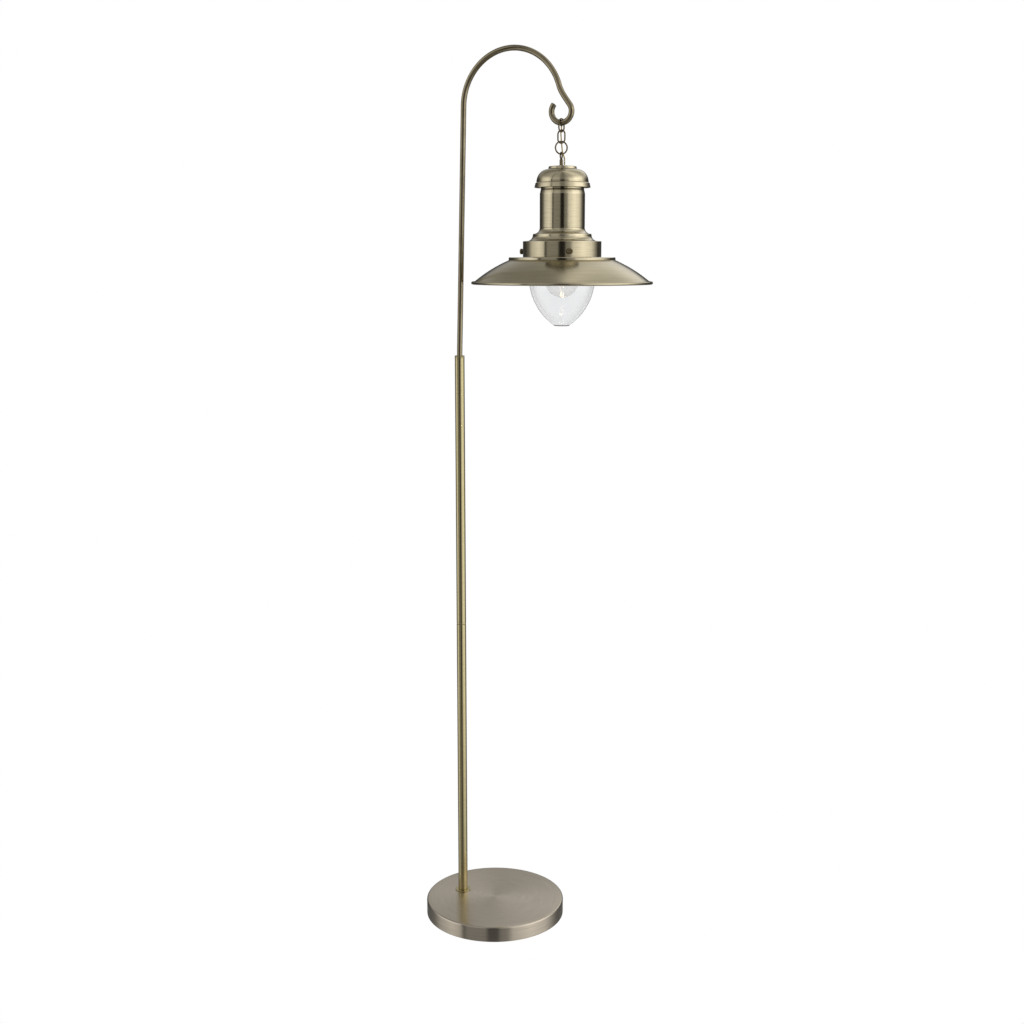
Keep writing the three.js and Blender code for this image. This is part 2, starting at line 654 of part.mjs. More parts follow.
// ---------------------------------------------------------------- shade
function makeShade() {
  const hole = drum.collar + gap;
  const start = [shade.flange + shade.bevel, domeTop - 0.5];
  const end = [shade.mouth, mouthZ];
  const beadR = shade.mouth + rim.out;
  const beadZ = mouthZ - rim.drop;
  const inside = mouthZ - 1.2;
  const dome = bow(start, end, shade.bulge, 4);
  const lining = bow([start[0] - 0.5, start[1] - sheet], [end[0] - sheet, inside], shade.bulge - sheet, 4);
  const profile = [
    [hole, flangeTop],
    [shade.flange - shade.bevel, flangeTop],
    [shade.flange, flangeTop - shade.bevel],
    [shade.flange, domeTop],
    ...dome,
    [shade.mouth + rim.step, mouthZ - 1.1],
    ...arcPoints(beadR, beadZ, rim.bead, rim.bead, 105, -90, 5),
    [shade.mouth - 1, beadZ - rim.bead],
    ...lining.reverse(),
    [shade.flange - sheet, domeTop - sheet],
    [shade.flange - sheet, flangeTop - sheet],
    [hole, flangeTop - sheet],
  ];
  add('shade', turnedRing(profile, wide), brass(), headX, headY);

  const low = flangeTop - sheet - gap - lockRing.thick;
  const lockGeometry = tube(lockRing.radius, hole, low, low + lockRing.thick, wide);
  add('shade_lock_ring', lockGeometry, brass(), headX, headY);
}

// ---------------------------------------------------------------- glass
function makeGlass() {
  const neckLine = glassTop - glass.lipHeight;
  const neckEnd = glassTop - glass.neckLength;
  const bellyZ = neckEnd - globe.bellyDrop;
  const half = glass.lipHeight / 2;
  const outer = [
    [glass.lip - 1, glassTop],
    [glass.lip, glassTop - half],
    [glass.neck, neckLine],
    [glass.neck, neckEnd],
    ...bow([glass.neck + 1, neckEnd - globe.turn], [globe.belly, bellyZ], globe.upper, 3),
    ...bow([globe.belly - 0.4, bellyZ - globe.turn], [globe.bottom, glassLow], globe.lower, 5),
  ];
  const lining = walled(outer.slice(3), glass.wall).slice(outer.length - 3);
  const bore = glass.neck - glass.wall;
  add('glass', turnedRing([...outer, ...lining, [bore, glassTop]], round), clear(), headX, headY);
}

// ---------------------------------------------------------------- lampholder
function makeHolder() {
  const shoulderZ = holderLow + holder.length;
  const hole = nipple.radius + gap;
  const roof = shoulderZ - holder.roof;
  add('lampholder_body', turnedRing([
    [holder.bore, holderLow],
    [holder.radius, holderLow],
    [holder.radius, shoulderZ],
    [holder.radius - holder.bevel, shoulderZ + holder.taper - 2],
    [holder.head, holderTop],
    [hole, holderTop],
    [hole, holderTop - 6],
    [holder.head, holderTop - 8],
    [holder.bore, roof],
  ], 20), black(), headX, headY);

  const shellTop = bulbTop + 2;
  const shellLow = bulbNeckTop + 3;
  const inside = holder.bore - gap;
  const shell = tube(inside, bulb.capRadius + gap, shellLow, shellTop, 20);
  add('lampholder_shell', shell, brass(), headX, headY);
  const insertLow = shellTop + gap;
  const insert = tube(inside, 0, insertLow, insertLow + insertThick, 20);
  add('lampholder_insert', insert, ivory(), headX, headY);
  const contact = tube(contactRadius, 0, bulbTop + gap, shellTop, 16);
  add('lampholder_contact', contact, brass(), headX, headY);
}

// ---------------------------------------------------------------- bulb
function makeBulb() {
  const r = bulb.capRadius;
  const screwLow = bulbNeckTop;
  add('bulb_cap', turned([
    [0, bulbTop],
    [4.5, bulbTop],
    [5.5, bulbTop - 1.5],
    [9, bulbTop - 4],
    [r, bulbTop - 6],
    [r, screwLow],
    [r - 0.8, screwLow],
    [r - 0.8, bulbTop - 6.6],
    [0, bulbTop - 8],
  ], 20), steel(), headX, headY);

  const centre = bulbLow + bulb.radius;
  const neckEnd = screwLow - gap;
  const outer = [
    [0, bulbLow],
    ...arcPoints(0, centre, bulb.radius, bulb.radius, -75, 30, 6),
    [bulb.neck + 3.5, centre + 29],
    [bulb.neck + 0.6, centre + 40],
    [r - 0.2, neckEnd],
  ];
  const lining = outer.map(([x, z]) => {
    const out = Math.hypot(x, z - centre);
    const inSphere = z < centre + 17;
    return inSphere ? [x * (out - bulb.wall) / out, centre + (z - centre) * (out - bulb.wall) / out]
      : [x - bulb.wall, z];
  });
  add('bulb_glass', turned([...outer, ...lining.reverse()], 20), clear(), headX, headY);

  const stemLow = centre + stem.start;
  add('bulb_stem', turned([
    [0, stemLow],
    [stem.radius, stemLow + 1],
    [stem.radius, neckEnd - stem.footHeight],
    [stem.foot, neckEnd - stem.press],
    [stem.foot, neckEnd - 1],
    [0, neckEnd - 1],
  ], 16), clear(), headX, headY);
}

makeBase();
makeFoot();
makePole();
makeArm();
makeChain();
makeFlex();
makeCap();
makeNeck();
makeGallery();
makeShade();
makeGlass();
makeHolder();
makeBulb();

export default lamp;
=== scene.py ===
# Pharmacy floor lamp in antique brass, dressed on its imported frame. Lengths are in metres.
import json
import math

import bmesh
import bpy
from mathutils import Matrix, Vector

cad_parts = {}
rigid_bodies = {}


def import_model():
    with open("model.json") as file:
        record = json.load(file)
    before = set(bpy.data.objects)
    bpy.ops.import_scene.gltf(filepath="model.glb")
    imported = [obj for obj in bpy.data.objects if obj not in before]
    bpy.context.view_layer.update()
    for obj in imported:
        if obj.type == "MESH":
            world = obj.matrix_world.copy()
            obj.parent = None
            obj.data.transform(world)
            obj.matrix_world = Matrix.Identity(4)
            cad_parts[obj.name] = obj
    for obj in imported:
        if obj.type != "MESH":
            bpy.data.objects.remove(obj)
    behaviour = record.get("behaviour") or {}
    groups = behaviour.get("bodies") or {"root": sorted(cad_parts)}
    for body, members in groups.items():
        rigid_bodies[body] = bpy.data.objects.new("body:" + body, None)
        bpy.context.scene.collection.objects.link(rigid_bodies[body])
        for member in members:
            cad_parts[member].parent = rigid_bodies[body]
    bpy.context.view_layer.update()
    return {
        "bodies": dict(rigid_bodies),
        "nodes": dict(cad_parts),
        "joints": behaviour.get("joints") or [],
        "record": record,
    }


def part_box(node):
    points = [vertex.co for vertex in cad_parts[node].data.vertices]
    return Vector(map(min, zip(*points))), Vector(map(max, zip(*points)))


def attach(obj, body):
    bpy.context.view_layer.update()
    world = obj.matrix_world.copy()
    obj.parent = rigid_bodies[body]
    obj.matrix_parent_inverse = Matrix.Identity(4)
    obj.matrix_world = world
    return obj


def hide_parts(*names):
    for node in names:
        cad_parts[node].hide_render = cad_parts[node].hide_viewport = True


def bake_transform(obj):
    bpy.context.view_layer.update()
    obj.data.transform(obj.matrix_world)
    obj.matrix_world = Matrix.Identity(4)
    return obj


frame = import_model()

MM = 0.001
SIDES = 128  # sides of the large turned pieces
FINE = 0.35 * MM  # broken edges of the spun brass
SEAM = 0.3 * MM  # gap left where one piece seats on another
ROD_BORE = 5.3 * MM  # radius of the holes for the hollow threaded rods
SHANK_HOLE = 2.8 * MM  # radius of the holes for the hanging eye
GRIP_HOLE = 2.1 * MM  # radius of the holes for the cord grip
SHADE_HOLE = 51.8 * MM  # radius of the hole in the shade, and of its lock ring
BORE_SIDES = 37  # sides of a drill: odd, so that its corners miss those of the turned pieces
SHARP_ANGLE = math.radians(35)  # edges sharper than this stay sharp after a cut


# ---------------------------------------------------------------- places taken from the frame
def turned_box(node):
    """Axis, radius, lowest and highest height of a turned CAD node."""
    low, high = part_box(node)
    axis = ((low.x + high.x) / 2, (low.y + high.y) / 2)
    return axis, (high.x - low.x) / 2, low.z, high.z


BASE_AXIS, BASE_RADIUS, BASE_LOW, BASE_TOP = turned_box("base_cover")
POLE_AXIS, POLE_RADIUS, _, POLE_JOINT = turned_box("lower_pole")
HEAD_AXIS, CAP_RADIUS, CAP_LOW, CAP_TOP = turned_box("cap")
CHAIN_LOW, CHAIN_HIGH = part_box("chain_ring")
HOOK_X = (CHAIN_LOW.x + CHAIN_HIGH.x) / 2
HOOK_BOTTOM = next(j for j in frame["joints"] if j["name"] == "hook_swing")["pos_m"][2]


# ---------------------------------------------------------------- camera at the photo's angle
def make_camera():
    data = bpy.data.cameras.new("camera")
    data.sensor_width = 36
    data.lens = 49.4
    data.clip_end = 50
    camera = bpy.data.objects.new("camera", data)
    camera.location = (1.1735, -2.2982, 1.2603)
    camera.rotation_euler = (math.radians(79.79), 0, math.radians(26.31))
    bpy.context.scene.collection.objects.link(camera)
    bpy.context.scene.camera = camera


TO_CAMERA = math.radians(-63.7)  # azimuth from the lamp to the camera


# ---------------------------------------------------------------- node tree helpers
class Tree:
    """A node tree with short calls for adding and joining nodes."""

    def __init__(self, owner):
        owner.use_nodes = True
        self.tree = owner.node_tree
        self.tree.nodes.clear()

    def node(self, kind, inputs=None, **settings):
        made = self.tree.nodes.new(kind)
        for name, value in settings.items():
            setattr(made, name, value)
        for name, value in (inputs or {}).items():
            self.feed(made.inputs[name], value)
        return made

    def feed(self, socket, value):
        if isinstance(value, bpy.types.NodeSocket):
            self.tree.links.new(value, socket)
        else:
            socket.default_value = value

    def math(self, operation, a, b=0.0, clamp=False):
        made = self.node("ShaderNodeMath", {0: a, 1: b}, operation=operation, use_clamp=clamp)
        return made.outputs[0]

    def ramp(self, fac, stops, mode="LINEAR"):
        made = self.node("ShaderNodeValToRGB", {"Fac": fac})
        made.color_ramp.interpolation = mode
        elements = made.color_ramp.elements
        elements.remove(elements[1])
        elements[0].position = stops[0][0]
        elements[0].color = (*stops[0][1], 1)
        for place, colour in stops[1:]:
            elements.new(place).color = (*colour, 1)
        return made.outputs["Color"]

    def mix(self, fac, a, b, blend="MIX"):
        made = self.node("ShaderNodeMix", data_type="RGBA", blend_type=blend)
        for index, value in ((0, fac), (6, a), (7, b)):
            self.feed(made.inputs[index], value)
        return made.outputs[2]

    def noise(self, vector, scale, detail=2.0, roughness=0.5):
        inputs = {"Vector": vector, "Scale": scale, "Detail": detail, "Roughness": roughness}
        return self.node("ShaderNodeTexNoise", inputs).outputs["Fac"]


def grey(value):
    return (value, value, value)


# ---------------------------------------------------------------- studio
# How bright the walls are that the brass sees, by azimuth from the camera: -180 is behind the lamp.
SOFTBOXES = [
    (-180, 0.08), (-136, 0.05), (-116, 0.25), (-102, 0.90), (-74, 1.35), (-57, 0.95), (-54, 0.04),
    (-50, 0.04), (-47, 0.37), (-14, 0.33), (-11, 0.01), (6, 0.01), (9, 0.30), (22, 0.38), (30, 1.10),
    (62, 1.75), (92, 1.35), (112, 0.45), (126, 0.06), (180, 0.08),
]
# How bright the upper part of the room is, by the same azimuths.
UPPER = [
    (-180, 0.95), (-166, 0.62), (-140, 0.55), (-110, 0.55), (-62, 0.85), (-52, 0.45), (-46, 0.85),
    (-20, 0.80), (-9, 0.45), (8, 0.50), (24, 0.95), (44, 1.05), (58, 1.70), (92, 1.80),
    (108, 1.10), (135, 1.20), (156, 1.80), (172, 1.25), (180, 0.95),
]


def backdrop_rays(t):
    """1 for rays that should meet the white backdrop: straight from the view, or by way of clear glass."""
    path = t.node("ShaderNodeLightPath")
    through = t.math("GREATER_THAN", path.outputs["Transmission Depth"], 0.5)
    inside = t.math("MULTIPLY", path.outputs["Is Singular Ray"], through)
    straight = t.math("MAXIMUM", path.outputs["Is Camera Ray"], path.outputs["Is Transmission Ray"])
    return t.math("MAXIMUM", straight, inside)


def make_world():
    world = bpy.data.worlds.new("studio")
    bpy.context.scene.world = world
    t = Tree(world)
    way = t.node("ShaderNodeTexCoord").outputs["Generated"]
    turned = t.node(
        "ShaderNodeVectorRotate",
        {"Vector": way, "Angle": -TO_CAMERA},
        rotation_type="Z_AXIS",
    ).outputs["Vector"]
    part = t.node("ShaderNodeSeparateXYZ", {"Vector": turned})
    azimuth = t.math("ARCTAN2", part.outputs["Y"], part.outputs["X"])
    place = t.math("ADD", t.math("DIVIDE", azimuth, 2 * math.pi), 0.5)
    peak = max(level for _, level in SOFTBOXES)
    stops = [((angle + 180) / 360, grey(level / peak)) for angle, level in SOFTBOXES]
    walls = t.ramp(place, stops)
    height = t.math("ADD", t.math("MULTIPLY", part.outputs["Z"], 0.5), 0.5)
    brightest = max(level for _, level in UPPER)
    upper = t.ramp(place, [((angle + 180) / 360, grey(level / brightest)) for angle, level in UPPER])
    high = t.ramp(height, [
        (0.60, grey(0.0)), (0.68, grey(0.60)), (0.76, grey(0.66)), (0.86, grey(0.56)), (1.0, grey(0.56)),
    ])
    sides = t.ramp(height, [
        (0.08, grey(0.25)), (0.29, grey(0.36)), (0.35, grey(0.92)), (0.64, grey(1.0)), (0.78, grey(0.1)),
    ])
    low = t.ramp(height, [(0.0, grey(0.14)), (0.29, grey(0.085)), (0.35, grey(0.0))])
    lit = t.mix(1.0, t.mix(1.0, high, upper, "MULTIPLY"), low, "ADD")
    room = t.mix(1.0, t.mix(1.0, walls, sides, "MULTIPLY"), lit, "ADD")
    studio = t.node("ShaderNodeBackground", {"Color": room, "Strength": peak})
    white = t.node("ShaderNodeBackground", {"Color": (1, 1, 1, 1), "Strength": 1.0})
    seen = backdrop_rays(t)
    both = t.node("ShaderNodeMixShader", {0: seen, 1: studio.outputs[0], 2: white.outputs[0]})
    t.node("ShaderNodeOutputWorld", {"Surface": both.outputs[0]})


FLOOR_RADIUS = 12
FLOOR_SIDES = 64
FLOOR_TOP = -0.0005  # a little below the felt


def make_floor():
    """A round pale floor, white to the camera, and one-sided, so that the lamp shows from below."""
    material = bpy.data.materials.new("floor")
    t = Tree(material)
    pale = t.node("ShaderNodeBsdfDiffuse", {"Color": (0.34, 0.34, 0.34, 1)})
    white = t.node("ShaderNodeEmission", {"Color": (1, 1, 1, 1), "Strength": 1.0})
    seen = backdrop_rays(t)
    both = t.node("ShaderNodeMixShader", {0: seen, 1: pale.outputs[0], 2: white.outputs[0]})
    below = t.node("ShaderNodeNewGeometry").outputs["Backfacing"]
    clear = t.node("ShaderNodeBsdfTransparent").outputs[0]
    finished(t, t.node("ShaderNodeMixShader", {0: below, 1: both.outputs[0], 2: clear}).outputs[0])
    turns = [i * math.tau / FLOOR_SIDES for i in range(FLOOR_SIDES)]
    points = [(FLOOR_RADIUS * math.cos(a), FLOOR_RADIUS * math.sin(a), FLOOR_TOP) for a in turns]
    mesh = bpy.data.meshes.new("floor")
    mesh.from_pydata(points, [], [list(range(FLOOR_SIDES))])
    mesh.materials.append(material)
    floor = bpy.data.objects.new("floor", mesh)
    bpy.context.scene.collection.objects.link(floor)
    floor.visible_glossy = False  # the brass mirrors the studio's lower walls, not the empty floor


def make_lamp_light(height):
    """The lit bulb: a warm light of the filament's size."""
    data = bpy.data.lights.new("bulb_light", "POINT")
    data.energy = 1.6
    data.color = (1.0, 0.72, 0.42)
    data.shadow_soft_size = 0.008
    light = bpy.data.objects.new("bulb_light", data)
    light.location = (*HEAD_AXIS, height)
    bpy.context.scene.collection.objects.link(light)
    light.parent = frame["bodies"]["head"]


# ---------------------------------------------------------------- materials
def finished(t, surface):
    t.node("ShaderNodeOutputMaterial", {"Surface": surface})


def polar(t, axis):
    """Radius, angle and height about an upright axis, as sockets."""
    place = t.node("ShaderNodeTexCoord").outputs["Object"]
    part = t.node("ShaderNodeSeparateXYZ", {"Vector": place})
    x = t.math("SUBTRACT", part.outputs["X"], axis[0])
    y = t.math("SUBTRACT", part.outputs["Y"], axis[1])
    squares = t.math("ADD", t.math("MULTIPLY", x, x), t.math("MULTIPLY", y, y))
    return t.math("SQRT", squares), t.math("ARCTAN2", y, x), part.outputs["Z"], place


def brushed_brass(name, axis, colour, roughness=0.27, anisotropy=0.75, lines=1.0, patina=0.5):
    """Satin antique brass, brushed round an upright axis, with painted shade in its inner corners and a
    painted highlight on its edges.
    """
    material = bpy.data.materials.new(name)
    t = Tree(material)
    radius, angle, height, place = polar(t, axis)
    turning = t.math("MULTIPLY", angle, 0.0012)
    around = t.node("ShaderNodeCombineXYZ", {"X": radius, "Y": height, "Z": turning}).outputs[0]
    grain = around if anisotropy else place
    fine = t.noise(grain, 5200 if anisotropy else 1400, 3.0, 0.65)
    broad = t.noise(grain, 1500 if anisotropy else 60, 2.0, 0.5)
    blotch = t.noise(place, 26, 4.0, 0.6)
    # The mark for painted light: 1 on edges for a painted highlight, -1 in corners for painted shade.
    painted_light_mark = t.node("ShaderNodeAttribute", attribute_name="painted_light_mark").outputs["Fac"]
    dark = tuple(c * f for c, f in zip(colour, (0.58, 0.53, 0.45)))
    shaded, lifted = tuple(c * 0.80 for c in colour), tuple(c * 1.12 for c in colour)
    # A paler brass for the painted highlight on edges.
    bright = tuple(min(c * f, 1.0) for c, f in zip(colour, (1.28, 1.30, 1.42)))
    streaks = t.ramp(broad, [(0.22, shaded), (0.50, colour), (0.80, lifted)])
    spots = t.math("MULTIPLY", t.math("SUBTRACT", blotch, 0.45, True), patina, True)
    aged = t.mix(spots, streaks, (*dark, 1))
    # Masks of the painted highlight on outer edges and of the painted shade in inner corners.
    edge_highlight = t.math("MAXIMUM", painted_light_mark, 0.0)
    corner_shade = t.math("MAXIMUM", t.math("MULTIPLY", painted_light_mark, -1.0), 0.0)
    # Painted highlight on outer edges, mixed in at three quarters.
    painted_light = t.mix(t.math("MULTIPLY", edge_highlight, 0.75), aged, (*bright, 1))
    # Painted shade in inner corners, darkened to 28% of the colour.
    tone = t.mix(t.math("MULTIPLY", corner_shade, 0.9), painted_light, (*[c * 0.28 for c in colour], 1))
    gloss = t.math("ADD", roughness - 0.04, t.math("MULTIPLY", fine, 0.08))
    bump = t.node("ShaderNodeBump", {"Strength": 0.05 * lines, "Distance": 0.00003, "Height": fine})
    tangent = t.node("ShaderNodeTangent", direction_type="RADIAL", axis="Z")
    shader = t.node("ShaderNodeBsdfPrincipled", {
        "Base Color": tone,
        "Metallic": 1.0,
        "Roughness": gloss,
        "Anisotropic": anisotropy,
        "Anisotropic Rotation": 0.25,
        "Normal": bump.outputs[0],
        "Tangent": tangent.outputs[0],
    })
    finished(t, shader.outputs[0])
    return material


def plain_metal(name, colour, roughness, grain=60, depth=0.05):
    """Plated or cast metal with an uneven sheen and a fine grain."""
    material = bpy.data.materials.new(name)
    t = Tree(material)
    place = t.node("ShaderNodeTexCoord").outputs["Object"]
    cloud = t.noise(place, grain, 5.0, 0.6)
    dust = t.noise(place, grain * 30, 2.0, 0.5)
    darker = tuple(c * 0.62 for c in colour)
    tone = t.ramp(cloud, [(0.30, darker), (0.62, colour)])
    gloss = t.math("ADD", roughness - 0.08, t.math("MULTIPLY", cloud, 0.16))
    bump = t.node("ShaderNodeBump", {"Strength": depth, "Distance": 0.0002, "Height": dust})
    shader = t.node("ShaderNodeBsdfPrincipled", {
        "Base Color": tone, "Metallic": 1.0, "Roughness": gloss, "Normal": bump.outputs[0],
    })
    finished(t, shader.outputs[0])
    return material


def plain_solid(name, colour, roughness, grain=90, depth=0.1, coat=0.0):
    """Plastic, ceramic or felt, with slight colour variation and surface grain."""
    material = bpy.data.materials.new(name)
    t = Tree(material)
    place = t.node("ShaderNodeTexCoord").outputs["Object"]
    cloud = t.noise(place, grain, 4.0, 0.6)
    dust = t.noise(place, grain * 22, 2.0, 0.6)
    lighter = tuple(min(c * 1.35 + 0.004, 1.0) for c in colour)
    tone = t.ramp(cloud, [(0.30, colour), (0.72, lighter)])
    gloss = t.math("ADD", roughness - 0.06, t.math("MULTIPLY", dust, 0.12))
    bump = t.node("ShaderNodeBump", {"Strength": depth, "Distance": 0.0003, "Height": dust})
    shader = t.node("ShaderNodeBsdfPrincipled", {
        "Base Color": tone, "Roughness": gloss, "Coat Weight": coat, "Normal": bump.outputs[0],
    })
    finished(t, shader.outputs[0])
    return material


def clear_material(name, tint, roughness=0.0, ior=1.47, waves=0.015, clear=1.0):
    """Clear glass or nylon. waves is the unevenness of moulded stuff, and 0 leaves it out."""
    material = bpy.data.materials.new(name)
    t = Tree(material)
    place = t.node("ShaderNodeTexCoord").outputs["Object"]
    wave = t.noise(place, 38, 2.0, 0.4)
    tone = t.ramp(wave, [(0.2, tuple(c * 0.985 for c in tint)), (0.8, tint)])
    inputs = {"Base Color": tone, "Roughness": roughness, "IOR": ior, "Transmission Weight": clear}
    if waves:
        bump = t.node("ShaderNodeBump", {"Strength": waves, "Distance": 0.002, "Height": wave})
        inputs["Normal"] = bump.outputs[0]
    shader = t.node("ShaderNodeBsdfPrincipled", inputs)
    finished(t, shader.outputs[0])
    return material


BRASS = (0.50, 0.44, 0.30)
BASE_BRASS = (0.52, 0.46, 0.372)
POLE_BRASS = (0.45, 0.39, 0.215)
ARM_BRASS = (0.27, 0.23, 0.148)
CHAIN_BRASS = (0.16, 0.125, 0.070)
SCREW_BRASS = (0.20, 0.155, 0.085)


# ---------------------------------------------------------------- mesh helpers
def arc(centre_r, centre_z, radius_r, radius_z, start, end, steps):
    """Points of a round stretch of an outline, marked as smooth. Angles are in degrees."""
    angles = [math.radians(start + (end - start) * i / steps) for i in range(steps + 1)]
    return [(centre_r + radius_r * math.cos(a), centre_z + radius_z * math.sin(a), 0) for a in angles]


def bowed(a, b, radius, steps):
    """Points of a shallow arc from a to b, bulging to the left of the way from a to b."""
    start, end = Vector(a), Vector(b)
    chord = end - start
    half = math.asin(chord.length / 2 / radius)
    side = Vector((-chord.y, chord.x)).normalized()
    centre = (start + end) / 2 - side * radius * math.cos(half)
    first = math.atan2(start.y - centre.y, start.x - centre.x)
    angles = [first - 2 * half * i / steps for i in range(steps + 1)]
    return [(centre.x + radius * math.cos(a), centre.y + radius * math.sin(a), 0) for a in angles]


def softened(outline, closed):
    """The outline with its corners rounded, and each point's mark for painted light: 1 on outer edges, which
    get a painted highlight, -1 in inner corners, which get painted shade.
    """
    count = len(outline)
    area = sum(
        outline[i][0] * outline[(i + 1) % count][1] - outline[(i + 1) % count][0] * outline[i][1]
        for i in range(count)
    )
    result = []
    for i, point in enumerate(outline):
        here = Vector(point[:2])
        radius = point[2] if len(point) > 2 else FINE
        inner = closed or 0 < i < count - 1
        if not inner or radius == 0:
            result.append((here, 0.0))
            continue
        before = Vector(outline[i - 1][:2]) - here
        after = Vector(outline[(i + 1) % count][:2]) - here
        turn = before.x * after.y - before.y * after.x
        # 1 marks an outer edge for a painted highlight, -1 an inner corner for painted shade
        painted_light = 1.0 if (turn < 0) == (area > 0) else -1.0
        reach = min(radius, before.length * 0.3, after.length * 0.3)
        into, out = before.normalized(), after.normalized()
        result.append((here + into * reach * 1.5, 0.0))
        for share in (0.0, 0.25, 0.5, 0.75, 1.0):
            one, two = here + into * reach * (1 - share), here + out * reach * share
            result.append((one.lerp(two, share), painted_light))
        result.append((here + out * reach * 1.5, 0.0))
    return result


def link_object(name, mesh, material, body, replaced):
    """Put a finished mesh into the scene, riding on a body in the place of CAD nodes."""
    mesh.materials.append(material)
    for polygon in mesh.polygons:
        polygon.use_smooth = True
    piece = bpy.data.objects.new(name, mesh)
    bpy.context.scene.collection.objects.link(piece)
    if replaced:
        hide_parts(*replaced)
    if body:
        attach(piece, body)
    return piece


def lathe_mesh(name, outline, axis, closed, sides=SIDES):
    """A turned mesh about an upright axis. A closed outline makes a ring; an open one ends on the axis."""
    profile = softened(outline, closed)
    points, painted_light_mark, rings = [], [], []
    for place, painted_light in profile:
        if place.x < 1e-7:
            rings.append([len(points)])
            points.append((axis[0], axis[1], place.y))
            painted_light_mark.append(painted_light)
            continue
        rings.append(list(range(len(points), len(points) + sides)))
        for i in range(sides):
            angle = math.tau * i / sides
            points.append((axis[0] + place.x * math.cos(angle), axis[1] + place.x * math.sin(angle), place.y))
            painted_light_mark.append(painted_light)
    faces = []
    pairs = list(zip(rings, rings[1:] + rings[:1])) if closed else list(zip(rings, rings[1:]))
    for low, high in pairs:
        for i in range(sides):
            j = (i + 1) % sides
            corners = [low[i % len(low)], low[j % len(low)], high[j % len(high)], high[i % len(high)]]
            face = list(dict.fromkeys(corners))
            if len(face) > 2:
                faces.append(face)
    mesh = bpy.data.meshes.new(name)
    mesh.from_pydata(points, [], faces)
    # The mark for painted highlights on edges and painted shade in corners rides on the mesh as a point
    # attribute.
    mesh.attributes.new("painted_light_mark", "FLOAT", "POINT").data.foreach_set("value", painted_light_mark)
    outward(mesh)
    return mesh


def outward(mesh):
    """Turn all faces outwards."""
    work = bmesh.new()
    work.from_mesh(mesh)
    bmesh.ops.recalc_face_normals(work, faces=work.faces)
    work.to_mesh(mesh)
    work.free()


def turned(name, outline, axis, material, body, replaced, closed=False, sides=SIDES, slot="antique_brass"):
    return link_object(name, lathe_mesh(name, outline, axis, closed, sides), material, body, replaced)


def tube_mesh(name, path, radius, sides=24, closed=False, ends=True):
    """A round rod along points that doesn't twist. radius is one number, or one for each point."""
    count = len(path)
    radii = radius if isinstance(radius, list) else [radius] * count
    ways = []
    for i in range(count):
        before = path[i - 1] if closed or i > 0 else path[i]
        after = path[(i + 1) % count] if closed or i < count - 1 else path[i]
        ways.append((after - before).normalized())
    side = ways[0].orthogonal().normalized()
    points, faces = [], []
    for i in range(count):
        side = (side - ways[i] * side.dot(ways[i])).normalized()
        other = ways[i].cross(side)
        for k in range(sides):
            angle = math.tau * k / sides
            points.append(path[i] + (side * math.cos(angle) + other * math.sin(angle)) * radii[i])
    for i in range(count if closed else count - 1):
        n = (i + 1) % count
        for k in range(sides):
            m = (k + 1) % sides
            faces.append([i * sides + k, i * sides + m, n * sides + m, n * sides + k])
    if ends and not closed:
        faces.append(list(range(sides)))
        faces.append([(count - 1) * sides + k for k in range(sides)])
    mesh = bpy.data.meshes.new(name)
    mesh.from_pydata([tuple(p) for p in points], [], faces)
    # An empty mark: no painted highlight or painted shade on rods.
    mesh.attributes.new("painted_light_mark", "FLOAT", "POINT")
    outward(mesh)
    return mesh


def cut_out(piece, mesh):
    """Cut the solid of a closed mesh out of a piece."""
    cutter = bpy.data.objects.new("cutter", mesh)
    bpy.context.scene.collection.objects.link(cutter)
    modifier = piece.modifiers.new("cut", "BOOLEAN")
    modifier.operation = "DIFFERENCE"
    modifier.solver = "EXACT"
    modifier.object = cutter
    with bpy.context.temp_override(object=piece, active_object=piece):
        bpy.ops.object.modifier_apply(modifier=modifier.name)
    bpy.data.objects.remove(cutter)
    bpy.data.meshes.remove(mesh)
    piece.data.set_sharp_from_angle(angle=SHARP_ANGLE)


def bored(piece, holes):
    """Cut straight round holes, each (centre, direction, radius, depth), through a piece."""
    for centre, direction, radius, depth in holes:
        half = Vector(direction).normalized() * depth / 2
        ends = [Vector(centre) - half, Vector(centre) + half]
        cut_out(piece, tube_mesh("cutter", ends, radius, BORE_SIDES))


# ---------------------------------------------------------------- base and pole
POLE_WALL = 1.2 * MM


def make_base(brass):
    top, radius, wall, edge = BASE_TOP, BASE_RADIUS, 1.5 * MM, 3 * MM
    outline = [
        (0, top, 0),
        *[(radius * share, top, 0) for share in (0.12, 0.3, 0.5, 0.7, 0.88)],
        (radius - edge, top, 0),
        *arc(radius - edge, top - edge, edge, edge, 84, 6, 8),
        (radius, top - edge, 0),
        (radius, BASE_LOW),
        (radius - wall, BASE_LOW),
        (radius - wall, top - edge),
        (radius - edge, top - wall),
        (0, top - wall, 0),
    ]
    cover = turned("base_shell", outline, BASE_AXIS, brass, "stand", ["base_cover"], sides=192)
    gland_low, gland_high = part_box("cord_gland")
    gland_z = (gland_low.z + gland_high.z) / 2
    bored(cover, [
        ((*POLE_AXIS, top), (0, 0, 1), ROD_BORE, 8 * MM),
        ((-radius, 0, gland_z), (1, 0, 0), ROD_BORE, 20 * MM),
    ])


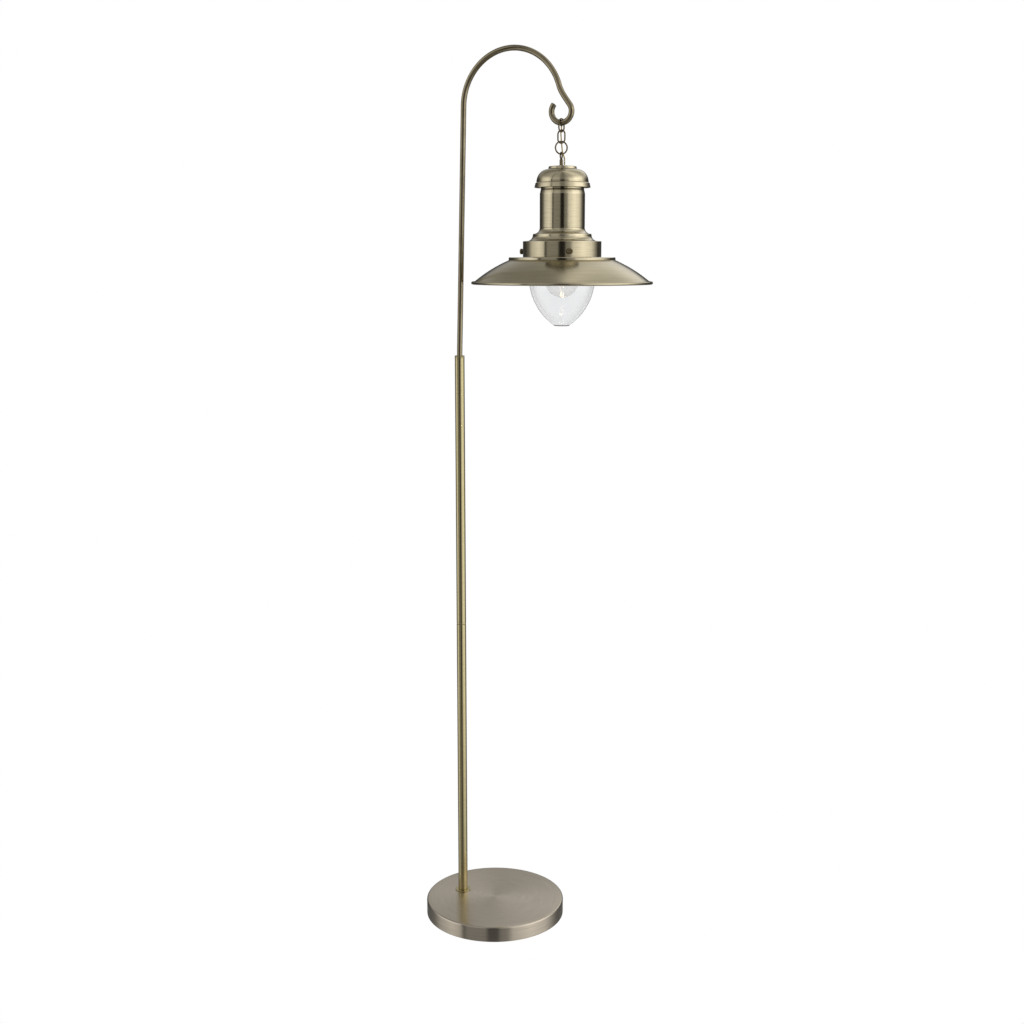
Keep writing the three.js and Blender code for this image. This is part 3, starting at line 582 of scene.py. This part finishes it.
def make_pole(brass):
    for node in ("foot_washer", "lower_pole", "upper_pole"):
        _, radius, low, high = turned_box(node)
        bore = ROD_BORE if node == "foot_washer" else radius - POLE_WALL
        outline = [(bore, low), (radius, low), (radius, high), (bore, high)]
        turned(f"{node}_tube", outline, POLE_AXIS, brass, "stand", [node], closed=True, sides=64)

    _, radius, low, high = turned_box("pole_joiner")
    ring_low = POLE_JOINT + SEAM
    ring_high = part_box("upper_pole")[0].z - SEAM
    sleeve = POLE_RADIUS - 1.5 * MM
    middle = (ring_low + ring_high) / 2
    outline = [
        (sleeve - 2 * MM, low), (sleeve, low), (sleeve, ring_low), (radius - 0.3 * MM, ring_low),
        (radius, middle, 0), (radius - 0.3 * MM, ring_high), (sleeve, ring_high), (sleeve, high),
        (sleeve - 2 * MM, high),
    ]
    turned("pole_joint_ring", outline, POLE_AXIS, brass, "stand", ["pole_joiner"], closed=True, sides=64)

    _, radius, low, high = turned_box("pole_top_bushing")
    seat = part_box("upper_pole")[1].z + SEAM
    middle = (seat + high) / 2
    outline = [
        (0, low, 0), (sleeve, low), (sleeve, seat), (radius, seat), (radius, middle - 0.8 * MM),
        (radius - 0.8 * MM, middle), (radius, middle + 0.8 * MM), (radius, high - 0.5 * MM),
        (radius - 0.5 * MM, high), (0, high, 0),
    ]
    bushing = turned("pole_cap", outline, POLE_AXIS, brass, "stand", ["pole_top_bushing"], sides=64)
    lean = Vector((math.sin(ARM_LEAN), 0, math.cos(ARM_LEAN)))
    bored(bushing, [((*POLE_AXIS, high), lean, ARM_RADIUS + 0.3 * MM, 60 * MM)])


# ---------------------------------------------------------------- arm and hook
ARM_RADIUS = 5 * MM
ARM_WALL = 1 * MM
ARM_SIDES = 48
ARM_LEAN = math.radians(1.46)
ARCH_RADIUS = 96 * MM
ARCH_END = 17
HOOK_RADIUS = 19 * MM
HOOK_START = 35
HOOK_END = -221
PLUG_DEPTH = 18 * MM


def arm_path():
    """The arm's centre line: up from inside the bushing, over the arch and round the hook."""
    foot_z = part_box("pole_top_bushing")[1].z
    foot_x = POLE_AXIS[0]
    sine, cosine = math.sin(ARM_LEAN), math.cos(ARM_LEAN)
    arch_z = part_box("arm_tube")[1].z - ARCH_RADIUS - ARM_RADIUS
    rise = (arch_z - foot_z + ARCH_RADIUS * sine) / cosine
    arch_x = foot_x + rise * sine + ARCH_RADIUS * cosine
    hook_z = HOOK_BOTTOM + HOOK_RADIUS
    start = Vector((foot_x - PLUG_DEPTH * sine, 0, foot_z - PLUG_DEPTH * cosine))
    arch = arc(arch_x, arch_z, ARCH_RADIUS, ARCH_RADIUS, 180 - math.degrees(ARM_LEAN), ARCH_END, 56)
    bend = arc(HOOK_X, hook_z, HOOK_RADIUS, HOOK_RADIUS, HOOK_START, HOOK_END, 56)
    arch = [Vector((x, 0, z)) for x, z, _ in arch]
    bend = [Vector((x, 0, z)) for x, z, _ in bend]
    upright = [start.lerp(arch[0], i / 24) for i in range(24)]
    leave, meet = arch[-1], bend[0]
    reach = (meet - leave).length / 3
    down, across = math.radians(ARCH_END), math.radians(HOOK_START)
    one = leave + Vector((math.sin(down), 0, -math.cos(down))) * reach
    two = meet - Vector((math.sin(across), 0, -math.cos(across))) * reach
    sweep = []
    for i in range(1, 20):
        s = i / 20
        near, far = leave * (1 - s) ** 3 + one * 3 * s * (1 - s) ** 2, two * 3 * s * s * (1 - s)
        sweep.append(near + far + meet * s ** 3)
    return upright + arch + sweep + bend


def make_arm(brass):
    path = arm_path()
    inner = ARM_RADIUS - ARM_WALL
    outside = tube_mesh("arm", path, ARM_RADIUS, ARM_SIDES, ends=False)
    inside = tube_mesh("arm_inside", path, inner, ARM_SIDES, ends=False)
    points = [v.co.copy() for v in outside.vertices] + [v.co.copy() for v in inside.vertices]
    shift, last = len(outside.vertices), (len(path) - 1) * ARM_SIDES
    faces = [list(p.vertices) for p in outside.polygons]
    faces += [[i + shift for i in reversed(p.vertices)] for p in inside.polygons]
    for row in (0, last):
        for k in range(ARM_SIDES):
            m = (k + 1) % ARM_SIDES
            faces.append([row + k, row + m, row + m + shift, row + k + shift])
    mesh = bpy.data.meshes.new("arm_hook")
    mesh.from_pydata([tuple(p) for p in points], [], faces)
    # An empty mark: no painted highlight or painted shade on the arm.
    mesh.attributes.new("painted_light_mark", "FLOAT", "POINT")
    outward(mesh)
    for old in (outside, inside):
        bpy.data.meshes.remove(old)
    arm = link_object("arm_hook", mesh, brass, "stand", ["arm_tube"])
    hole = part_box("hook_bush")
    bored(arm, [((HOOK_X, 0, hole[0].z + 1.5 * MM), (0, 0, 1), 2.6 * MM, 6 * MM)])


# ---------------------------------------------------------------- chain
WIRE = 2.6 * MM
TWIST = {"chain_link_upper": 76.3, "chain_link_lower": -9.7, "chain_ring": 42.3, "hanging_eye": -47.7}


def loop_path(width, length, turn, centre):
    """Centre line of a chain link: two half rings joined by straights, in an upright plane."""
    radius = (width - WIRE) / 2
    straight = (length - width) / 2
    path = []
    for i in range(72):
        angle = math.tau * i / 72
        side = radius * math.cos(angle)
        height = radius * math.sin(angle) + math.copysign(straight, math.sin(angle) or 1)
        path.append(Vector((
            centre[0] + side * math.cos(turn),
            centre[1] + side * math.sin(turn),
            centre[2] + height,
        )))
    return path


def make_chain(brass):
    riders = {"chain_link_upper": "upper_link", "chain_link_lower": "lower_link", "chain_ring": "ring"}
    widths = {"chain_link_upper": 17.2 * MM, "chain_link_lower": 17.2 * MM, "chain_ring": 24 * MM}
    for node, body in riders.items():
        low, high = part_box(node)
        centre = (HOOK_X, 0, (low.z + high.z) / 2)
        path = loop_path(widths[node], high.z - low.z, math.radians(TWIST[node]), centre)
        wire = tube_mesh(node, path, WIRE / 2, 24, closed=True)
        link_object(f"{node}_wire", wire, brass, body, [node])

    low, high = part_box("hanging_eye")
    collar_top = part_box("eye_collar")[1].z + SEAM
    size = 13.5 * MM
    centre = (HOOK_X, 0, high.z - size / 2)
    path = loop_path(size, size, math.radians(TWIST["hanging_eye"]), centre)
    eye = tube_mesh("eye_loop", path, WIRE / 2, 24, closed=True)
    link_object("eye_loop", eye, brass, "head", ["hanging_eye"])
    neck_top = high.z - size + WIRE * 0.6
    shank = [
        (0, low.z, 0), (2.5 * MM, low.z), (2.5 * MM, collar_top), (3 * MM, collar_top),
        (3 * MM, neck_top - 2.4 * MM), (2.1 * MM, neck_top - 0.8 * MM),
        (1.4 * MM, neck_top), (0, neck_top, 0),
    ]
    turned("eye_shank", shank, (HOOK_X, 0), brass, "head", ["hanging_eye"], sides=40)


# ---------------------------------------------------------------- flex
FLEX_RADIUS = 1.1 * MM
# Beside the chain, from the hook's underside to the cord grip: x and y from the hook, height below it.
FLEX_ROUTE = [
    (0, 0, 0), (0, 0, -1.4), (-0.3, 0.9, -3.6), (-0.9, 2.3, -5.8), (-1.8, 3.4, -8.2),
    (-2.6, 3.8, -10.6), (-2.7, 3.8, -13.4), (-2.3, 3.7, -18), (-1.9, 3.7, -23), (-1.5, 3.9, -28),
    (-0.9, 4.0, -34), (-0.3, 4.2, -40), (0.4, 4.5, -45), (1.3, 4.9, -48.5), (2.3, 5.3, -51),
    (3.2, 5.55, -53.4), (3.5, 5.6, -56), (3.5, 5.6, -60),
]
FLEX_TURNS = [1.4850, 1.4745, 1.4570, 1.4385]  # heights of the chain's joints, one inside each stretch


def smooth_route(points, steps):
    """A Catmull-Rom curve through points."""
    line = [points[0] * 2 - points[1], *points, points[-1] * 2 - points[-2]]
    result = []
    for a, b, c, d in zip(line, line[1:], line[2:], line[3:]):
        for i in range(steps):
            s = i / steps
            result.append(0.5 * (
                2 * b + (c - a) * s + (2 * a - 5 * b + 4 * c - d) * s * s + (3 * b - a - 3 * c + d) * s ** 3
            ))
    return result + [points[-1]]


def make_flex(material):
    """The flex is one length in four stretches, each spanning one joint of the chain."""
    under_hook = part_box("chain_flex")[1].z
    knots = [Vector((HOOK_X + x * MM, y * MM, under_hook + z * MM)) for x, y, z in FLEX_ROUTE]
    route = smooth_route(knots, 8)
    cuts = [(a + b) / 2 for a, b in zip(FLEX_TURNS, FLEX_TURNS[1:])]
    bounds = [route[0].z + MM, *cuts, route[-1].z - MM]
    for i, (high, low) in enumerate(zip(bounds, bounds[1:])):
        inside = [k for k, p in enumerate(route) if low <= p.z <= high]
        first, last = max(inside[0] - 1, 0), min(inside[-1] + 1, len(route) - 1)
        stretch = route[first:last + 1]
        mesh = tube_mesh(f"flex_{i + 1}", stretch, FLEX_RADIUS, 20)
        piece = link_object(f"flex_stretch_{i + 1}", mesh, material, None, ["chain_flex"])
        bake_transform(piece)


# ---------------------------------------------------------------- top of the head
SHEET = 1.2 * MM
EDGE = 0.6 * MM
SCREW_TURN = -55.5
SCREW_COUNT = 3


def spun_wall(outline, wall):
    """An outline of spun sheet and its inner side, as one closed outline."""
    inner = []
    for i, point in enumerate(outline):
        here = Vector(point[:2])
        before = (here - Vector(outline[i - 1][:2])).normalized() if i > 0 else None
        after = (Vector(outline[i + 1][:2]) - here).normalized() if i < len(outline) - 1 else None
        first, second = before or after, after or before
        middle = (first + second).normalized()
        reach = wall / max(middle.dot(first), 0.5)
        aside = Vector((middle.y, -middle.x)) * reach
        if before is None or after is None:
            aside = Vector((math.copysign(wall, aside.x), 0)) if abs(aside.x) > abs(aside.y) else \
                Vector((0, math.copysign(wall, aside.y)))
        inner.append((max(here.x + aside.x, 0.0), here.y + aside.y, 0))
    return [*outline, *reversed(inner)]


def make_cap(brass):
    top = CAP_TOP
    lip = top - 4.6 * MM
    dome_low = CAP_LOW + 8.6 * MM
    outline = [
        (0, top, 0), (23.6 * MM, top), (24.2 * MM, top - EDGE), (25.2 * MM, lip),
        (26.4 * MM, lip - EDGE),
        *arc(26.4 * MM, dome_low, 19.4 * MM, lip - EDGE - dome_low, 84, 0, 22),
        (47.6 * MM, dome_low - 1.2 * MM),
        (CAP_RADIUS, CAP_LOW),
    ]
    cap = turned("cap_shell", spun_wall(outline, SHEET), HEAD_AXIS, brass, "head", ["cap"])
    grip_low, grip_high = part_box("cord_grip")
    grip = ((grip_low.x + grip_high.x) / 2, (grip_low.y + grip_high.y) / 2)
    bored(cap, [
        ((HOOK_X, 0, top), (0, 0, 1), SHANK_HOLE, 8 * MM),
        ((*grip, top), (0, 0, 1), GRIP_HOLE, 8 * MM),
    ])

    _, radius, low, high = turned_box("eye_collar")
    collar = turned("collar_washer", [(0, low, 0), (radius, low), (radius, high), (0, high, 0)],
                    HEAD_AXIS, brass, "head", ["eye_collar"], sides=64)
    bored(collar, [
        ((HOOK_X, 0, low), (0, 0, 1), SHANK_HOLE, 8 * MM),
        ((*grip, low), (0, 0, 1), GRIP_HOLE, 8 * MM),
    ])
    return grip


def make_grip(material, grip):
    low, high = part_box("cord_grip")
    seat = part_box("eye_collar")[1].z + SEAM
    outline = [
        (1.4 * MM, low.z), (1.8 * MM, low.z), (1.8 * MM, seat), (2.1 * MM, seat),
        (2.1 * MM, high.z - MM), (1.7 * MM, high.z), (1.4 * MM, high.z),
    ]
    turned("grip_sleeve", outline, grip, material, "head", ["cord_grip"], True, 40, "clear_nylon")


def make_neck(brass):
    _, radius, low, top = turned_box("neck")
    spigot_top = low + 8 * MM
    outline = [
        (ROD_BORE, top), (36.7 * MM, top), (37.9 * MM, top - 1.2 * MM), (37.9 * MM, top - 12 * MM),
        (radius, top - 20 * MM), (radius, spigot_top),
        (radius - 1.6 * MM, spigot_top), (radius - 1.6 * MM, low),
    ]
    turned("neck_tube", spun_wall(outline, SHEET), HEAD_AXIS, brass, "head", ["neck"], closed=True)


# ---------------------------------------------------------------- gallery and its screws
def make_gallery(brass, screw_brass):
    _, radius, low, top = turned_box("gallery")
    neck_radius = turned_box("neck")[1]
    drum_low = low + 12 * MM
    drum_top = drum_low + 27.6 * MM
    middle = top - 10.4 * MM
    step = middle - 1.9 * MM
    inner = neck_radius - 1.3 * MM
    outer = [
        *arc(51.2 * MM, top, 51.2 * MM - neck_radius, 10.4 * MM, 180, 258, 12),
        (51.2 * MM, middle), (51.8 * MM, step),
        *arc(61.8 * MM, step, 10.0 * MM, 10.2 * MM, 190, 264, 12),
        (61.8 * MM, drum_top + 0.5 * MM), (radius - EDGE, drum_top),
        (radius, drum_top - EDGE), (radius, drum_low),
    ]
    lining = [p for p in spun_wall(outer, SHEET)[len(outer) + 1:] if p[0] > inner + 0.2 * MM]
    outline = [
        (inner, top), *outer, (51.5 * MM, drum_low), (51.5 * MM, low), (50 * MM, low),
        (50 * MM, drum_low + SHEET), (radius - SHEET, drum_low + SHEET), *lining, (inner, top - 2.5 * MM),
    ]
    shell = turned("gallery_shell", outline, HEAD_AXIS, brass, "head", ["gallery"], closed=True)
    screw_z = sum(v.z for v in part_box("gallery_screw_1")) / 2
    centre = Vector((*HEAD_AXIS, screw_z))
    for i in range(SCREW_COUNT):
        angle = math.radians(SCREW_TURN + 360 / SCREW_COUNT * i)
        way = Vector((math.cos(angle), math.sin(angle), 0))
        bored(shell, [(centre + way * radius, way, 2.3 * MM, 10 * MM)])
        make_screw(i + 1, centre, way, screw_brass, radius)


BOX_FACES = [[0, 1, 3, 2], [4, 6, 7, 5], [0, 4, 5, 1], [2, 3, 7, 6], [0, 2, 6, 4], [1, 5, 7, 3]]


def make_screw(number, centre, way, brass, drum_radius):
    """A thumb screw lying along way: a turned head with a slot, on a shank that reaches the glass."""
    tip = 44.3 * MM
    head_out = drum_radius + 9.6 * MM
    head_in = head_out - 3.4 * MM
    outline = [
        (0, tip, 0), (2 * MM, tip + 0.8 * MM), (2 * MM, head_in), (5 * MM, head_in),
        (5 * MM, head_out - EDGE), (4.4 * MM, head_out), (0, head_out + 0.0001 * MM, 0),
    ]
    mesh = lathe_mesh(f"thumb_screw_{number}", outline, (0, 0), False, 48)
    turn = way.to_track_quat("Z", "Y").to_matrix().to_4x4()
    turn.translation = centre
    mesh.transform(turn)
    node = f"gallery_screw_{number}"
    piece = link_object(f"thumb_screw_{number}", mesh, brass, node, [node])
    across = way.cross(Vector((0, 0, 1)))
    for wide, deep in ((across, Vector((0, 0, 1))), (Vector((0, 0, 1)), across)):
        corners = [
            centre + way * (head_out + along * MM) + wide * reach * 3.4 * MM + deep * half * 0.55 * MM
            for along in (-1.2, 1) for reach in (-1, 1) for half in (-1, 1)
        ]
        mesh = bpy.data.meshes.new("slot")
        mesh.from_pydata([tuple(c) for c in corners], [], BOX_FACES)
        outward(mesh)
        cut_out(piece, mesh)


# ---------------------------------------------------------------- shade
def make_shade(brass):
    _, outer_radius, _, top = turned_box("shade")
    mouth = outer_radius - 7.2 * MM
    flange = 94.3 * MM
    dome_top = top - 4.9 * MM
    mouth_z = dome_top - 36 * MM
    bead_r, bead_z = mouth + 4.6 * MM, mouth_z - 3.6 * MM
    dome = bowed((flange + 0.8 * MM, dome_top - 0.5 * MM), (mouth, mouth_z), 250 * MM, 40)
    lining = bowed(
        (flange + 0.3 * MM, dome_top - 1.7 * MM), (mouth - SHEET, mouth_z - SHEET), 248.8 * MM, 40)
    outline = [
        (SHADE_HOLE, top), (flange - 0.8 * MM, top), (flange, top - 0.8 * MM), (flange, dome_top),
        *dome, (mouth + 1.6 * MM, mouth_z - 1.1 * MM),
        *arc(bead_r, bead_z, 2.6 * MM, 2.6 * MM, 105, -90, 14),
        (mouth - MM, bead_z - 2.6 * MM), *reversed(lining),
        (flange - SHEET, dome_top - SHEET), (flange - SHEET, top - SHEET), (SHADE_HOLE, top - SHEET),
    ]
    turned("shade_spun", outline, HEAD_AXIS, brass, "head", ["shade"], closed=True, sides=192)


# ---------------------------------------------------------------- glass and bulb
def make_glass(material):
    _, _, low, top = turned_box("glass")
    neck_end = top - 21 * MM
    belly = neck_end - 36 * MM
    wall = 2.5 * MM
    outer = [
        *bowed((45 * MM, neck_end - 4 * MM), (58.5 * MM, belly), 60 * MM, 16),
        *bowed((58.1 * MM, belly - 4 * MM), (12.5 * MM, low), 104 * MM, 34),
    ]
    rim = [(46.5 * MM, top), (47.5 * MM, top - 2 * MM), (44 * MM, top - 4 * MM), (44 * MM, neck_end)]
    bore = 44 * MM - wall
    lining = spun_wall([rim[-1], *outer], wall)[len(outer) + 1:]
    outline = [*rim, *outer, *lining, (bore, top)]
    turned("glass_globe", outline, HEAD_AXIS, material, "head", ["glass"], True, 256, "clear_glass")


def make_bulb(glass, metal, filament):
    _, radius, low, top = turned_box("bulb_glass")
    centre = low + radius
    inner = radius - 0.8 * MM
    outline = [
        (0, low, 0), *arc(0, centre, radius, radius, -88, 30, 34),
        (17.7 * MM, centre + 29 * MM, 2 * MM), (14.8 * MM, centre + 40 * MM, 2 * MM), (13 * MM, top, 0),
        (12.2 * MM, top, 0), (14 * MM, centre + 40 * MM, 2 * MM), (16.9 * MM, centre + 29 * MM, 2 * MM),
        *arc(0, centre, inner, inner, 30, -88, 34), (0, low + 0.8 * MM, 0),
    ]
    turned("bulb_envelope", outline, HEAD_AXIS, glass, "head", ["bulb_glass"], sides=96, slot="bulb_glass")

    stem_low, stem_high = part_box("bulb_stem")
    stem = [
        (0, stem_low.z, 0), (2.2 * MM, stem_low.z + MM), (2.2 * MM, stem_high.z - 15 * MM, 2 * MM),
        (8 * MM, stem_high.z - 2 * MM), (8 * MM, stem_high.z), (0, stem_high.z, 0),
    ]
    turned("bulb_mount", stem, HEAD_AXIS, glass, "head", ["bulb_stem"], sides=40, slot="bulb_glass")

    centre_point = Vector((*HEAD_AXIS, centre))
    coil = []
    for i in range(241):
        angle = math.radians(-135 + 270 * i / 240)
        twist = math.tau * i / 6
        ring = 11 * MM + 0.3 * MM * math.cos(twist)
        coil.append(centre_point + Vector((
            ring * math.sin(angle), ring * math.cos(angle), -2 * MM + 0.3 * MM * math.sin(twist))))
    wire = tube_mesh("filament", coil, 0.25 * MM, 8)
    link_object("bulb_filament", wire, filament, "head", None)

    cap_low, cap_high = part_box("bulb_cap")
    r = 13.2 * MM
    thread = []
    turns, steps = 5, 6
    thread_low, thread_high = cap_low.z + MM, cap_high.z - 7 * MM
    for i in range(turns * steps + 1):
        swell = 0.45 * MM * math.cos(math.tau * i / steps)
        height = thread_low + (thread_high - thread_low) * i / (turns * steps)
        thread.append((r - 0.5 * MM + swell, height, 0))
    cap = [
        (0, cap_high.z - 1.5 * MM, 0), (4 * MM, cap_high.z - 2.4 * MM), (8 * MM, cap_high.z - 5 * MM),
        (r - 1.8 * MM, cap_high.z - 8 * MM), (r - 1.8 * MM, cap_low.z, 0), (r - MM, cap_low.z, 0), *thread,
        (9 * MM, cap_high.z - 4 * MM), (5.5 * MM, cap_high.z - 1.5 * MM),
        (4.5 * MM, cap_high.z), (0, cap_high.z, 0),
    ]
    turned("bulb_screw_cap", cap, HEAD_AXIS, metal, "head", ["bulb_cap"], sides=64, slot="bulb_metal")


def make_holder(plastic, brass):
    """The ribbed holder body, and the ring under the shade with its gripping notches."""
    _, radius, low, high = turned_box("lampholder_body")
    ribs = []
    for i in range(9):
        z = low + 4 * MM + i * 3 * MM
        ribs += [(radius, z, 0), (radius, z + 1.6 * MM, 0), (radius - 0.6 * MM, z + 2 * MM, 0),
                 (radius - 0.6 * MM, z + 2.6 * MM, 0)]
    outline = [
        (15.2 * MM, low), (radius, low), *ribs, (radius, low + 48 * MM), (14 * MM, high - 2 * MM),
        (9 * MM, high), (ROD_BORE, high), (ROD_BORE, high - 6 * MM), (9 * MM, high - 8 * MM),
        (15.2 * MM, high - 18 * MM),
    ]
    turned("holder_body", outline, HEAD_AXIS, plastic, "head", ["lampholder_body"], True, 96, "black_plastic")

    _, radius, low, high = turned_box("shade_lock_ring")
    outline = [(SHADE_HOLE, low), (radius, low), (radius, high), (SHADE_HOLE, high)]
    ring = turned("lock_ring", outline, HEAD_AXIS, brass, "head", ["shade_lock_ring"], closed=True)
    notches = []
    for i in range(12):
        angle = math.radians(30 * i + 15)
        way = Vector((math.cos(angle), math.sin(angle), 0))
        notches.append((Vector((*HEAD_AXIS, (low + high) / 2)) + way * radius, (0, 0, 1), 1.6 * MM, 12 * MM))
    bored(ring, notches)


def glowing(name, colour, strength):
    """The lit filament, a little cooler at some of its turns."""
    material = bpy.data.materials.new(name)
    t = Tree(material)
    place = t.node("ShaderNodeTexCoord").outputs["Object"]
    heat = t.ramp(t.noise(place, 300, 2.0, 0.5), [(0.3, tuple(c * 0.7 for c in colour)), (0.7, colour)])
    light = t.node("ShaderNodeEmission", {"Color": heat, "Strength": strength})
    finished(t, light.outputs[0])
    return material


# ---------------------------------------------------------------- CAD nodes that keep their shape
def dress_frame(by_slot):
    for node, piece in frame["nodes"].items():
        entry = next(s for s in frame["record"]["subparts"] if s["node"] == node)
        material = by_slot.get(entry["material_slot"])
        if material:
            piece.data.materials.clear()
            piece.data.materials.append(material)


# ---------------------------------------------------------------- the lamp
bpy.context.scene.view_settings.view_transform = "Standard"
make_camera()
gold = clear_material("gold_flex", (0.68, 0.50, 0.10), 0.18, 1.45, 0.03, 0.35)
make_flex(gold)
make_world()
make_floor()

steel = plain_metal("zinc_steel", (0.62, 0.62, 0.60), 0.34)
iron = plain_metal("cast_iron", (0.06, 0.06, 0.062), 0.72, 30, 0.5)
felt = plain_solid("felt", (0.030, 0.027, 0.024), 0.95, 120, 0.6)
black = plain_solid("black_plastic", (0.014, 0.014, 0.014), 0.48)
nylon = clear_material("clear_nylon", (0.93, 0.94, 0.94), 0.12, 1.53, 0.03)
porcelain = plain_solid("porcelain", (0.80, 0.78, 0.72), 0.30, 40, 0.04, 0.6)
contact = plain_metal("contact_brass", (0.70, 0.52, 0.24), 0.30)
bulb_metal = plain_metal("bulb_metal", (0.72, 0.72, 0.70), 0.26)
glass = clear_material("clear_glass", (0.945, 0.950, 0.955), 0.0, 1.45, 0.0)
bulb_glass = clear_material("bulb_glass", (0.97, 0.965, 0.955), 0.0, 1.45, 0.0)
filament = glowing("filament", (1.0, 0.62, 0.26), 60.0)

base_brass = brushed_brass("brass_base", BASE_AXIS, BASE_BRASS, 0.22, 0.92, 0.7, 0.15)
pole_brass = brushed_brass("brass_pole", POLE_AXIS, POLE_BRASS, 0.15, 0.70, 0.4, 0.20)
head_brass = brushed_brass("brass_head", HEAD_AXIS, BRASS, 0.18, 0.66, 0.5, 0.25)
arm_brass = brushed_brass("brass_arm", POLE_AXIS, ARM_BRASS, 0.11, 0.0, 0.10, 0.12)
chain_brass = brushed_brass("brass_chain", (HOOK_X, 0), CHAIN_BRASS, 0.20, 0.0, 0.3, 0.3)
screw_brass = brushed_brass("brass_screw", HEAD_AXIS, SCREW_BRASS, 0.26, 0.0, 0.3, 0.5)

dress_frame({
    "antique_brass": head_brass, "cast_iron": iron, "felt": felt, "black_plastic": black,
    "zinc_steel": steel, "gold_flex": gold, "clear_nylon": nylon, "clear_glass": glass,
    "bulb_glass": bulb_glass, "bulb_metal": bulb_metal, "contact_brass": contact, "porcelain": porcelain,
})
make_base(base_brass)
make_pole(pole_brass)
make_arm(arm_brass)
make_chain(chain_brass)
make_grip(nylon, make_cap(head_brass))
make_neck(head_brass)
make_gallery(head_brass, screw_brass)
make_shade(head_brass)
make_glass(glass)
make_bulb(bulb_glass, bulb_metal, filament)
make_holder(black, head_brass)
make_lamp_light(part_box("bulb_glass")[0].z + 30 * MM)
